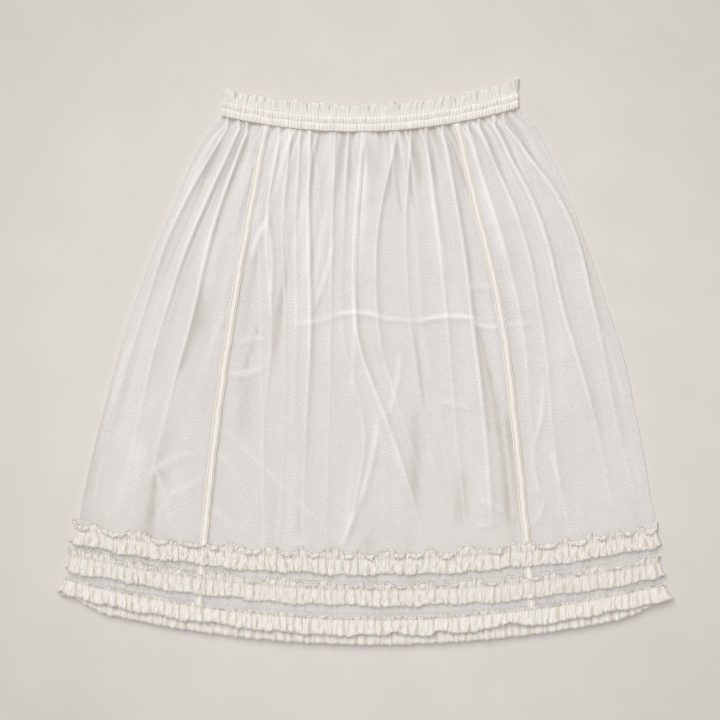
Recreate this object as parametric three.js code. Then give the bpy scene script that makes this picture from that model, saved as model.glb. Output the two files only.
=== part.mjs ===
// Tiered ruffle skirt of sheer net, laid flat on its back.
// Sizes are in millimetres. +Y runs up to the waist, +X to the right as seen from above, and +Z up from the
// surface that it lies on.

import * as THREE from 'three';

const { lerp } = THREE.MathUtils;

// Walls of the cloth, and the gaps between sewn pieces
const NET_WALL = 1.0;
const LACE_WALL = 1.0;
const TAPE_WALL = 1.0;
const BAND_WALL = 1.2;
const SEAM_GAP = 0.3;
const WAIST_GAP = 0.4;
const HOLLOW = 0.6; // between the inner faces of the front and the back

// The net lies on the surface down to the ruffles, whose back halves lift it by their own thickness
const RUFFLE_LIFT = LACE_WALL + SEAM_GAP;
const LIFT_STARTS = 0.82;
const LIFT_ENDS = 0.865;

// The back hangs a little lower than the front, and meets it again at the two side folds
const BACK_DROP = 10.5;
const BACK_DROP_FADES_OVER = 50;

const TAPE_WIDTH = 8.5;
const TAPE_SEAT = TAPE_WIDTH / 2 + 2.2; // half of the flat stretch of net that a tape is sewn to
const TURN_STEPS = 4; // facets round each side fold
const BACK_COLUMNS = 12; // stretches across the flat back

// The laid skirt from the waist seam (down 0) to the net's hem (down 1). Each level is a line from one side
// fold to the other, and sag is how far the middle of that line hangs below its ends.
const LEVELS = [
  { down: 0.0, leftX: -163, leftY: 276, rightX: 169, rightY: 285, sag: 22 },
  { down: 0.04, leftX: -180, leftY: 257, rightX: 188, rightY: 265, sag: 22 },
  { down: 0.09, leftX: -195, leftY: 230, rightX: 204, rightY: 235, sag: 23 },
  { down: 0.18, leftX: -216, leftY: 181, rightX: 226, rightY: 186, sag: 24 },
  { down: 0.28, leftX: -238, leftY: 130, rightX: 245, rightY: 134, sag: 25 },
  { down: 0.4, leftX: -263, leftY: 63, rightX: 268, rightY: 65, sag: 27 },
  { down: 0.52, leftX: -281, leftY: 3, rightX: 287, rightY: 6, sag: 28 },
  { down: 0.64, leftX: -297, leftY: -57, rightX: 300, rightY: -54, sag: 29 },
  { down: 0.75, leftX: -311, leftY: -112, rightX: 311, rightY: -111, sag: 30 },
  { down: 0.82, leftX: -319, leftY: -150, rightX: 317, rightY: -150, sag: 31 },
  { down: 0.865, leftX: -323, leftY: -172, rightX: 321, rightY: -173, sag: 31 },
  { down: 0.88, leftX: -325, leftY: -184, rightX: 322, rightY: -187, sag: 32 },
  { down: 0.94, leftX: -332, leftY: -214, rightX: 325, rightY: -222, sag: 35 },
  { down: 1.0, leftX: -338, leftY: -251, rightX: 331, rightY: -256, sag: 42 },
];

// Seams that run down the skirt: x at five heights
const SEAM_HEIGHTS = [0, 0.18, 0.4, 0.64, 1];
const SEAMS = {
  frontLeft: [-114, -132, -153, -170, -190],
  frontRight: [99, 123, 150, 165, 184],
  back: [-122, -122, -120, -118, -116],
};

// The largest folds of the front, from left to right. x and rise are at the five heights below. lean is where
// the trough to the right of a fold lies, as a share of the way to the next one: a low share is a steep side.
const FOLD_HEIGHTS = [0.02, 0.18, 0.4, 0.64, 0.86];
const LEFT_FOLDS = [
  { name: 'edge pleat', x: [-157, -206, -250, -284, -310], rise: [2.5, 1.5, 0.8, 0.5, 0.3], lean: 0.4 },
  { name: 'bright pleat', x: [-144, -184, -227, -257, -277], rise: [3, 2.6, 1.4, 0.7, 0.4], lean: 0.3 },
  { name: 'long fold', x: [-135, -167, -197, -229, -252], rise: [3, 2.6, 2.2, 1.4, 0.7], lean: 0.4 },
];
const CENTRE_FOLDS = [
  { name: 'forked fold', x: [-99, -113, -108, -118, -126], rise: [2.6, 2.2, 1.4, 0.6, 0.4], lean: 0.5 },
  { name: 'short gather', x: [-87, -95, -92, -94, -96], rise: [2.2, 1.2, 0.6, 0.4, 0.3], lean: 0.5 },
  { name: 'inner gather', x: [-76, -81, -80, -84, -86], rise: [2.4, 1.5, 0.7, 0.3, 0.2], lean: 0.5 },
  { name: 'left sharp fold', x: [-65, -67, -65, -70, -73], rise: [3, 2.8, 2.5, 1.4, 0.6], lean: 0.25 },
  { name: 'middle gather', x: [-37, -40, -42, -44, -48], rise: [2.4, 1.6, 0.9, 0.6, 0.6], lean: 0.5 },
  { name: 'hem diagonal', x: [-22, -27, -28, -4, -25], rise: [1.8, 0.8, 0.6, 1.8, 1.6], lean: 0.5 },
  { name: 'flattened pleat', x: [-6, -14, -13, 28, 65], rise: [3, 2.8, 2.8, 2.6, 1.8], lean: 0.45 },
  { name: 'pleat return', x: [31, 12, 12, 46, 82], rise: [3, 2.4, 1.8, 0.6, 0.3], lean: 0.4 },
  { name: 'right gather', x: [48, 42, 48, 68, 96], rise: [2.2, 1.3, 0.7, 0.6, 0.5], lean: 0.5 },
  { name: 'right soft fold', x: [65, 76, 89, 99, 112], rise: [3, 2.5, 1.8, 0.9, 0.6], lean: 0.5 },
  { name: 'right sharp fold', x: [84, 101, 117, 131, 139], rise: [3, 2.8, 2.7, 2.6, 2.2], lean: 0.3 },
];
const RIGHT_FOLDS = [
  { name: 'tape side fold', x: [112, 140, 171, 183, 195], rise: [2.4, 1.7, 1.2, 0.9, 0.5], lean: 0.5 },
  { name: 'inner fold', x: [124, 163, 193, 206, 217], rise: [2.8, 2.3, 1.9, 1.3, 0.7], lean: 0.4 },
  { name: 'outer fold', x: [141, 185, 219, 253, 276], rise: [3, 2.7, 2.3, 1.5, 0.7], lean: 0.4 },
  { name: 'edge pleat', x: [152, 214, 252, 276, 304], rise: [3, 2.7, 1.9, 1.3, 0.7], lean: 0.5 },
];
const FOLD_START = 0.45; // share of a fold's rise where the waist seam holds it down
const SHOULDER_SHARE = 0.35; // a fold's shoulder, as a share of the way from its crest to its trough
const SHOULDER_RISE = 0.72; // the shoulder's rise, as a share of the crest's

// The waistband: rows from the frill's top edge down to the waist seam. up is the height over the seam,
// rib is how far the shirred ribs stand out, and wave how far the frill waves.
const BAND_HOLLOW = 1.0;
const BAND_RIBS = 46;
const RIBS_IN_A_FRILL = 2;
const BAND_ROWS = [
  { name: 'frill edge', up: 29, narrower: 3, rib: 0, wave: 3.0 },
  { name: 'frill neck', up: 21.5, narrower: 1.5, rib: 0.3, wave: 1.2 },
  { name: 'upper shirring', up: 17.4, narrower: 0.8, rib: 0.1, wave: 0 },
  { name: 'upper casing', up: 13.4, narrower: 0.4, rib: 1.0, wave: 0 },
  { name: 'lower shirring', up: 9.5, narrower: 0.2, rib: 0.1, wave: 0 },
  { name: 'lower casing', up: 4.8, narrower: 0, rib: 1.0, wave: 0 },
  { name: 'seam edge', up: 0, narrower: 0, rib: 0.4, wave: 0 },
];

// The three lace ruffles. down is the height of the gathering stitches, and the ends are the stitch line's.
// frills are the waves of the back half, which shows only below the hem.
const TIERS = [
  { name: 'tier_upper', down: 0.885, leftY: -185, rightY: -188, sag: 32, heading: 10, flounce: 17 },
  { name: 'tier_middle', down: 0.94, leftY: -214, rightY: -222, sag: 35, heading: 9.5, flounce: 17 },
  { name: 'tier_lower', down: 0.99, leftY: -243, rightY: -249, sag: 42, heading: 5, flounce: 16, frills: 22 },
];
const TIER_ROWS = [
  { name: 'heading edge', ofHeading: 1, ofFlounce: 0, flare: 4, wave: 2.8, sway: 2.2, backWave: 0 },
  { name: 'gathering stitches', ofHeading: 0, ofFlounce: 0, flare: 0, wave: 0, sway: 0, backWave: 0 },
  { name: 'flounce head', ofHeading: 0, ofFlounce: 0.4, flare: 3, wave: 2.4, sway: 0.5, backWave: 0 },
  { name: 'flounce edge', ofHeading: 0, ofFlounce: 1, flare: 8, wave: 3.4, sway: 1.6, backWave: 1.8 },
];
const TIER_WAVES = [8, 22, 8]; // left of the tapes, between them and right of them
const TAPE_CLEAR = 0.8; // how far past a tape's edge a ruffle stays lifted over it
const TAPE_RAMP = 1.8; // the ruffle comes down again over this width

const cloth = (color, roughness) => new THREE.MeshStandardMaterial({ color, roughness, metalness: 0 });
const CLOTH = {
  net: cloth(0xdedad6, 0.85),
  tape: cloth(0xece3d6, 0.8),
  lace: cloth(0xe8e0d4, 0.85),
  band: cloth(0xebe4da, 0.8),
};

// A smooth curve through values given at a few heights
function trackOf(heights, values) {
  const curve = new THREE.CubicInterpolant(heights, values, 1, new Float64Array(1));
  return (down) => curve.evaluate(down)[0];
}

const seamTracks = {};
for (const [name, x] of Object.entries(SEAMS)) seamTracks[name] = trackOf(SEAM_HEIGHTS, x);
const seamX = (seam, down) => seamTracks[seam](down);

// The level line at any height, between the rows of LEVELS
function levelAt(down) {
  const next = Math.max(1, LEVELS.findIndex((level) => level.down >= down));
  const [above, below] = [LEVELS[next - 1], LEVELS[next]];
  const share = (down - above.down) / (below.down - above.down);
  const line = { drop: BACK_DROP * down };
  for (const column of ['leftX', 'leftY', 'rightX', 'rightY', 'sag']) {
    line[column] = lerp(above[column], below[column], share);
  }
  return line;
}

// A line's y at x on the front, and on the back, which drops away from the side folds
function frontY(line, x) {
  const share = (x - line.leftX) / (line.rightX - line.leftX);
  return lerp(line.leftY, line.rightY, share) - line.sag * 4 * share * (1 - share);
}

function backY(line, x) {
  const fromFold = Math.min(x - line.leftX, line.rightX - x);
  return frontY(line, x) - line.drop * THREE.MathUtils.clamp(fromFold / BACK_DROP_FADES_OVER, 0, 1);
}

// A row of a wall is a level line with the heights of its back and front middle surfaces.
// A point on it has a place, the way out of the cloth, and what is raised on the outside there.
const FRONT_OUT = new THREE.Vector3(0, 0, 1);
const BACK_OUT = new THREE.Vector3(0, 0, -1);

function frontPoint(row, x, lift = 0, along = 0, raise = 0) {
  const place = new THREE.Vector3(x, frontY(row.line, x) + along, row.frontZ + lift);
  return { place, out: FRONT_OUT, raise };
}

function backPoint(row, x, lift = 0) {
  const place = new THREE.Vector3(x, backY(row.line, x), row.backZ + lift);
  return { place, out: BACK_OUT, raise: 0 };
}

function foldRadius(row) {
  return (row.frontZ - row.backZ) / 2;
}

// Points round a side fold, from the back to the front
function turnPoints(row, side) {
  const radius = foldRadius(row);
  const centreX = side < 0 ? row.line.leftX + radius : row.line.rightX - radius;
  return Array.from({ length: TURN_STEPS + 1 }, (_, i) => {
    const angle = -Math.PI / 2 + (Math.PI * i) / TURN_STEPS;
    const out = new THREE.Vector3(side * Math.cos(angle), 0, Math.sin(angle));
    const place = new THREE.Vector3(centreX, frontY(row.line, centreX), row.backZ + radius);
    return { place: place.addScaledVector(out, radius), out, raise: 0 };
  });
}

// A closed wall through rows of points: outer and inner faces, joined at every free edge
function wallMesh(name, rows, wall, ring, material) {
  const columns = rows[0].length;
  const layer = rows.length * columns;
  const positions = [];
  for (const sign of [1, -1]) {
    for (const point of rows.flat()) {
      const away = (sign * wall) / 2 + (sign > 0 ? point.raise : 0);
      positions.push(...point.place.clone().addScaledVector(point.out, away).toArray());
    }
  }
  const at = (row, column, inner) => inner * layer + row * columns + (column % columns);
  const triangles = [];
  const quad = (a, b, c, d) => triangles.push(a, b, c, a, c, d);
  const stretches = ring ? columns : columns - 1;
  const last = rows.length - 1;
  for (let c = 0; c < stretches; c++) {
    for (let r = 0; r < last; r++) {
      quad(at(r, c, 0), at(r, c + 1, 0), at(r + 1, c + 1, 0), at(r + 1, c, 0));
      quad(at(r, c, 1), at(r + 1, c, 1), at(r + 1, c + 1, 1), at(r, c + 1, 1));
    }
    quad(at(0, c, 1), at(0, c + 1, 1), at(0, c + 1, 0), at(0, c, 0));
    quad(at(last, c, 0), at(last, c + 1, 0), at(last, c + 1, 1), at(last, c, 1));
  }
  const end = columns - 1;
  for (let r = 0; !ring && r < last; r++) {
    quad(at(r, 0, 0), at(r + 1, 0, 0), at(r + 1, 0, 1), at(r, 0, 1));
    quad(at(r, end, 0), at(r, end, 1), at(r + 1, end, 1), at(r + 1, end, 0));
  }
  const geometry = new THREE.BufferGeometry();
  geometry.setAttribute('position', new THREE.Float32BufferAttribute(positions, 3));
  geometry.setIndex(signedVolume(positions, triangles) > 0 ? triangles : triangles.reverse());
  geometry.computeVertexNormals();
  const mesh = new THREE.Mesh(geometry, material);
  mesh.name = name;
  return mesh;
}

function signedVolume(positions, triangles) {
  const corner = (i) => new THREE.Vector3().fromArray(positions, 3 * i);
  let volume = 0;
  for (let i = 0; i < triangles.length; i += 3) {
    const [a, b, c] = [corner(triangles[i]), corner(triangles[i + 1]), corner(triangles[i + 2])];
    volume += a.dot(b.cross(c)) / 6;
  }
  return volume;
}

// The net

function netRow(down) {
  const lift = RUFFLE_LIFT * THREE.MathUtils.smoothstep(down, LIFT_STARTS, LIFT_ENDS);
  const backZ = lift + NET_WALL / 2;
  return { down, line: levelAt(down), backZ, frontZ: backZ + NET_WALL + HOLLOW };
}

// How much of a fold's rise stands at this height: less at the waist seam, none under the ruffles
function foldShare(down) {
  const freed = lerp(FOLD_START, 1, THREE.MathUtils.smoothstep(down, 0, LEVELS[1].down));
  return freed * (1 - THREE.MathUtils.smoothstep(down, LIFT_STARTS - 0.02, LIFT_ENDS));
}

// Front points of one gore at one height, with a crest, two shoulders and a trough for each of its folds
function goreFront(row, folds, fromX, toX) {
  const crests = folds.map(({ x, rise, lean }) => ({
    x: trackOf(FOLD_HEIGHTS, x)(row.down),
    rise: trackOf(FOLD_HEIGHTS, rise)(row.down) * foldShare(row.down),
    lean,
  }));
  const points = [frontPoint(row, fromX.edge), frontPoint(row, fromX.flat)];
  let troughX = fromX.flat;
  crests.forEach((crest, i) => {
    const next = crests[i + 1];
    const nextTrough = next ? lerp(crest.x, next.x, crest.lean) : toX.flat;
    const shoulder = (trough) => {
      return frontPoint(row, lerp(crest.x, trough, SHOULDER_SHARE), crest.rise * SHOULDER_RISE);
    };
    points.push(shoulder(troughX), frontPoint(row, crest.x, crest.rise), shoulder(nextTrough));
    if (next) points.push(frontPoint(row, nextTrough));
    troughX = nextTrough;
  });
  points.push(frontPoint(row, toX.flat), frontPoint(row, toX.edge));
  return points;
}

// Where a gore's front starts or ends: at a taped seam, or where the side fold begins to turn
function atSeam(row, seam, side) {
  const x = seamX(seam, row.down);
  return { edge: x + (side * SEAM_GAP) / 2, flat: x + side * TAPE_SEAT };
}

function atFold(row, side) {
  const edge = side < 0 ? row.line.leftX : row.line.rightX;
  return { edge: edge - side * foldRadius(row), flat: edge - side * 2 * foldRadius(row) };
}

// Back points between two x values, in about as many stretches as the back's share of the width asks for
function backPoints(row, fromX, toX, stretches) {
  return Array.from({ length: stretches + 1 }, (_, i) => backPoint(row, lerp(fromX, toX, i / stretches)));
}

const BACK_LEFT_COLUMNS = Math.round(BACK_COLUMNS / 3);
const netRows = LEVELS.map((level) => netRow(level.down));

function goreLeft() {
  const rows = netRows.map((row) => {
    const fold = atFold(row, -1);
    const seam = atSeam(row, 'back', -1);
    const back = backPoints(row, seam.edge, fold.edge, BACK_LEFT_COLUMNS).slice(0, -1);
    const front = goreFront(row, LEFT_FOLDS, fold, atSeam(row, 'frontLeft', -1)).slice(1);
    return [...back, ...turnPoints(row, -1), ...front];
  });
  return wallMesh('gore_left', rows, NET_WALL, false, CLOTH.net);
}

function goreRight() {
  const rows = netRows.map((row) => {
    const fold = atFold(row, 1);
    const seam = atSeam(row, 'back', 1);
    const back = backPoints(row, fold.edge, seam.edge, BACK_COLUMNS - BACK_LEFT_COLUMNS).slice(1);
    const front = goreFront(row, RIGHT_FOLDS, atSeam(row, 'frontRight', 1), fold).slice(0, -1);
    return [...front, ...turnPoints(row, 1).reverse(), ...back];
  });
  return wallMesh('gore_right', rows, NET_WALL, false, CLOTH.net);
}

function frontCentre() {
  const rows = netRows.map((row) => {
    return goreFront(row, CENTRE_FOLDS, atSeam(row, 'frontLeft', 1), atSeam(row, 'frontRight', -1));
  });
  return wallMesh('front_centre', rows, NET_WALL, false, CLOTH.net);
}

// A tape lies on the flat net over its seam, from the waist seam to the hem
function seamTape(name, seam) {
  const seat = NET_WALL / 2 + SEAM_GAP + TAPE_WALL / 2;
  const rows = netRows.map((row) => {
    const x = seamX(seam, row.down);
    return [-0.5, 0, 0.5].map((share) => frontPoint(row, x + share * TAPE_WIDTH, seat));
  });
  return wallMesh(name, rows, TAPE_WALL, false, CLOTH.tape);
}

// The waistband

function bandFront(row, detail) {
  const count = BAND_RIBS * 2;
  const [fromX, toX] = [row.line.leftX + foldRadius(row), row.line.rightX - foldRadius(row)];
  return Array.from({ length: count - 1 }, (_, i) => {
    const step = i + 1;
    const isRib = step % 2;
    const turn = (2 * Math.PI * step) / (2 * RIBS_IN_A_FRILL);
    const uneven = 0.8 + 0.2 * Math.sin(1.7 * step);
    const lift = (detail.wave * uneven * (1 - Math.cos(turn))) / 2;
    return frontPoint(row, lerp(fromX, toX, step / count), lift, lift / 2, detail.rib * isRib * uneven);
  });
}

function waistband() {
  const seam = levelAt(0);
  const rows = BAND_ROWS.map((detail) => {
    const line = {
      ...seam,
      leftX: seam.leftX + detail.narrower,
      rightX: seam.rightX - detail.narrower,
      leftY: seam.leftY + WAIST_GAP + detail.up,
      rightY: seam.rightY + WAIST_GAP + detail.up,
    };
    const backZ = BAND_WALL / 2;
    const row = { line, backZ, frontZ: backZ + BAND_WALL + BAND_HOLLOW };
    const [left, right] = [turnPoints(row, -1), turnPoints(row, 1).reverse()];
    const back = backPoints(row, right.at(-1).place.x, left[0].place.x, BACK_COLUMNS);
    return [...left, ...bandFront(row, detail), ...right, ...back.slice(1, -1)];
  });
  return wallMesh('waistband', rows, BAND_WALL, true, CLOTH.band);
}

// The ruffles

// Front points over one stretch: a crest and a trough for each wave, uneven along the strip
function tierWaves(row, detail, fromX, toX, waves, seed) {
  const count = waves * 2;
  return Array.from({ length: count - 1 }, (_, i) => {
    const step = i + 1;
    const isCrest = step % 2;
    const uneven = 0.75 + 0.25 * Math.sin(2.3 * step + seed);
    const lift = detail.wave * (isCrest ? uneven : 0.12 * uneven);
    const along = detail.sway * Math.sin(0.8 * step + seed) * row.swaySign;
    const lean = 0.35 * detail.flare * Math.sin(1.3 * step + seed) * isCrest;
    return frontPoint(row, lerp(fromX, toX, step / count) + lean, lift, along);
  });
}

// Four points that carry the ruffle over a tape
function overTape(row, detail, seam) {
  const x = seamX(seam, row.down);
  const top = TAPE_WIDTH / 2 + TAPE_CLEAR;
  const lift = TAPE_WALL + SEAM_GAP;
  return [
    frontPoint(row, x - top - TAPE_RAMP),
    frontPoint(row, x - top, lift + 0.3 * detail.wave),
    frontPoint(row, x + top, lift),
    frontPoint(row, x + top + TAPE_RAMP),
  ];
}

function tierBack(row, detail, waves) {
  const [fromX, toX] = [row.line.rightX - foldRadius(row), row.line.leftX + foldRadius(row)];
  const count = Math.max(BACK_COLUMNS, waves * 2);
  return Array.from({ length: count - 1 }, (_, i) => {
    const isCrest = waves && (i + 1) % 2;
    return backPoint(row, lerp(fromX, toX, (i + 1) / count), isCrest ? detail.backWave : 0);
  });
}

function tier(spec, index) {
  const net = netRow(spec.down);
  const gap = SEAM_GAP + LACE_WALL;
  const rows = TIER_ROWS.map((detail) => {
    const up = detail.ofHeading * spec.heading - detail.ofFlounce * spec.flounce;
    const side = gap + detail.flare;
    const line = {
      ...net.line,
      leftX: net.line.leftX - side,
      rightX: net.line.rightX + side,
      leftY: spec.leftY + up,
      rightY: spec.rightY + up,
      sag: spec.sag,
    };
    const backZ = LACE_WALL / 2;
    const frontZ = net.frontZ + NET_WALL / 2 + SEAM_GAP + LACE_WALL / 2;
    const row = { line, backZ, frontZ, down: spec.down, swaySign: Math.sign(up) || 1 };
    const [left, right] = [turnPoints(row, -1), turnPoints(row, 1).reverse()];
    const overLeft = overTape(row, detail, 'frontLeft');
    const overRight = overTape(row, detail, 'frontRight');
    const ends = [[left, overLeft], [overLeft, overRight], [overRight, right]];
    const spans = ends.map(([before, after], i) => {
      const [fromX, toX] = [before.at(-1).place.x, after[0].place.x];
      return tierWaves(row, detail, fromX, toX, TIER_WAVES[i], index + i);
    });
    const front = [...spans[0], ...overLeft, ...spans[1], ...overRight, ...spans[2]];
    return [...left, ...front, ...right, ...tierBack(row, detail, spec.frills ?? 0)];
  });
  return wallMesh(spec.name, rows, LACE_WALL, true, CLOTH.lace);
}

const skirt = new THREE.Group();
skirt.add(frontCentre(), goreLeft(), goreRight());
skirt.add(seamTape('tape_left', 'frontLeft'), seamTape('tape_right', 'frontRight'));
skirt.add(waistband());
skirt.add(...TIERS.map(tier));

export default skirt;
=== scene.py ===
"""A tiered ruffle skirt of sheer net, laid flat on its back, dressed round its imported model.

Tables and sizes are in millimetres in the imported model's frame: +Y runs up to the waist, +X to the right as
seen from above and +Z up from the surface that the skirt lies on. Meshes are made in metres.
"""

import logging
import math
from dataclasses import dataclass
from enum import Enum

import bpy
import numpy as np
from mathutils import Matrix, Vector


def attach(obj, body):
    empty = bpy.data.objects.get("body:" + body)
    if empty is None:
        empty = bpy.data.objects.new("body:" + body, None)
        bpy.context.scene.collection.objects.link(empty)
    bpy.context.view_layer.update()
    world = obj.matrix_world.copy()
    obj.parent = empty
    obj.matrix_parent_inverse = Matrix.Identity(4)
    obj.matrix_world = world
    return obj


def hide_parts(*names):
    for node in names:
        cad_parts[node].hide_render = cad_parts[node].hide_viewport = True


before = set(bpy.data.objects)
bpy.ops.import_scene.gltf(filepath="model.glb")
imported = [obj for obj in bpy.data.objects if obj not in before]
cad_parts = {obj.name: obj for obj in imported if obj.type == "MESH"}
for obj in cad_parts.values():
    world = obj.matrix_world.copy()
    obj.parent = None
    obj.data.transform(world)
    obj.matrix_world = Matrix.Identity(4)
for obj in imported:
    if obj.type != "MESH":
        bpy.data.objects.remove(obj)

LOG = logging.getLogger("skirt")
MM = 0.001
BODY = "root"


class Slot(Enum):
    """The record's material slots."""

    NET = "net"
    TAPE = "seam_tape"
    BAND = "shirred_band"
    LACE = "ruffle_lace"


# The laid skirt's own sizes


@dataclass(frozen=True)
class Level:
    """A level line from one side fold to the other. sag is how far its middle hangs below its ends."""

    down: float
    left_x: float
    left_y: float
    right_x: float
    right_y: float
    sag: float


LEVELS = (
    Level(0.0, -163, 276, 169, 285, 22),
    Level(0.04, -180, 257, 188, 265, 22),
    Level(0.09, -195, 230, 204, 235, 23),
    Level(0.18, -216, 181, 226, 186, 24),
    Level(0.28, -238, 130, 245, 134, 25),
    Level(0.4, -263, 63, 268, 65, 27),
    Level(0.52, -281, 3, 287, 6, 28),
    Level(0.64, -297, -57, 300, -54, 29),
    Level(0.75, -311, -112, 311, -111, 30),
    Level(0.82, -319, -150, 317, -150, 31),
    Level(0.865, -323, -172, 321, -173, 31),
    Level(0.88, -325, -184, 322, -187, 32),
    Level(0.94, -332, -214, 325, -222, 35),
    Level(1.0, -338, -251, 331, -256, 42),
)
SEAM_HEIGHTS = (0, 0.18, 0.4, 0.64, 1)
SEAMS = {
    "front_left": (-114, -132, -153, -170, -190),
    "front_right": (99, 123, 150, 165, 184),
    "back": (-122, -122, -120, -118, -116),
}
BACK_DROP = 10.5  # how far the back hangs below the front at the hem
BACK_DROP_FADES_OVER = 50
SEAM_GAP = 0.3
BACK_Z = 0.3  # the back net, where it lies on the surface
FRONT_Z = 2.6  # the front net between its folds
RUFFLE_LIFT = 1.3  # the back ruffles raise the net by this much
LIFT_STARTS, LIFT_ENDS = 0.82, 0.865
TAPE_WIDTH = 8.5
LOOP_DRAWN_OUT = 1.15  # how much longer than wide a thread loop is


@dataclass(frozen=True)
class Fold:
    """A fold of the net. x and rise are at FOLD_HEIGHTS, and reach is its half width to the left and right.

    over is how far its crest lies over to the right of its foot, where its rise is greatest.
    """

    name: str
    x: tuple
    rise: tuple
    reach: tuple
    over: float


FOLD_HEIGHTS = (0.02, 0.18, 0.4, 0.64, 0.86)
LEFT_FOLDS = (
    Fold("edge pleat", (-157, -206, -250, -284, -310), (2.0, 1.6, 0.8, 0.5, 0.3), (5, 4), 5),
    Fold("bright pleat", (-144, -184, -227, -257, -277), (2.4, 2.2, 1.2, 0.6, 0.2), (9, 3), 12),
    Fold("long fold", (-135, -167, -197, -229, -252), (2.4, 2.4, 2.0, 0.9, 0.25), (9, 3), 10),
)
CENTRE_FOLDS = (
    Fold("forked fold", (-99, -113, -108, -118, -126), (2.2, 1.8, 1.0, 0.5, 0.3), (7, 5), 5),
    Fold("short gather", (-87, -95, -92, -94, -96), (2.0, 1.0, 0.5, 0.3, 0.2), (5, 4), 5),
    Fold("inner gather", (-76, -81, -80, -84, -86), (2.0, 1.2, 0.6, 0.2, 0.2), (5, 4), 4),
    Fold("left sharp fold", (-65, -67, -65, -70, -73), (2.4, 2.4, 2.0, 1.1, 0.4), (9, 3), 11),
    Fold("middle gather", (-37, -40, -42, -44, -48), (2.0, 1.4, 0.8, 0.5, 0.4), (6, 4), -5),
    Fold("hem diagonal", (-22, -27, -28, -4, -25), (1.4, 0.7, 0.5, 1.2, 1.1), (6, 4), 5),
    Fold("flattened pleat", (-6, -14, -13, 28, 65), (2.4, 2.2, 2.0, 1.8, 1.2), (10, 3), 13),
    Fold("pleat return", (31, 12, 12, 46, 82), (2.2, 1.8, 1.2, 0.5, 0.2), (6, 5), -8),
    Fold("right gather", (48, 42, 48, 68, 96), (2.0, 1.2, 0.6, 0.5, 0.3), (5, 4), 4),
    Fold("right soft fold", (65, 76, 89, 99, 112), (2.4, 2.0, 1.4, 0.8, 0.4), (8, 6), -6),
    Fold("right sharp fold", (84, 101, 117, 131, 139), (2.6, 2.5, 2.4, 2.0, 1.4), (11, 3), 12),
)
RIGHT_FOLDS = (
    Fold("tape side fold", (112, 140, 171, 183, 195), (2.0, 1.4, 1.0, 0.6, 0.4), (6, 4), 4),
    Fold("inner fold", (124, 163, 193, 206, 217), (2.4, 2.0, 1.6, 1.0, 0.5), (9, 4), 9),
    Fold("outer fold", (141, 185, 219, 253, 276), (2.6, 2.4, 2.0, 1.3, 0.6), (10, 3), 12),
    Fold("edge pleat", (152, 214, 252, 276, 304), (2.6, 2.4, 1.7, 1.1, 0.5), (9, 3), 9),
)
BACK_LEFT_FOLDS = (
    Fold("outer back fold", (-140, -178, -222, -262, -290), (1.5, 1.2, 0.9, 0.5, 0.3), (6, 5), 3),
    Fold("inner back fold", (-129, -146, -165, -182, -196), (1.2, 1.0, 0.6, 0.4, 0.2), (3, 5), -2),
)
BACK_RIGHT_FOLDS = (
    Fold("seam side fold", (-98, -92, -86, -78, -70), (1.5, 1.1, 0.8, 0.4, 0.2), (5, 4), 2),
    Fold("left back fold", (-60, -52, -46, -34, -30), (1.4, 1.3, 1.0, 0.7, 0.4), (7, 4), 4),
    Fold("middle back fold", (-18, -4, 6, 18, 22), (1.5, 1.0, 0.7, 0.5, 0.3), (5, 5), -3),
    Fold("right back fold", (36, 52, 62, 86, 98), (1.5, 1.3, 1.0, 0.6, 0.4), (6, 4), 4),
    Fold("far back fold", (88, 118, 140, 158, 172), (1.5, 1.2, 0.8, 0.5, 0.3), (7, 4), 3),
    Fold("edge back fold", (134, 180, 214, 244, 262), (1.4, 1.2, 0.9, 0.5, 0.2), (6, 4), 3),
)


@dataclass(frozen=True)
class Crease:
    """A soft ridge in the net from one point to another, bowed sideways by bow."""

    name: str
    start: tuple
    end: tuple
    rise: float
    width: float
    bow: float = 0.0


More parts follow.
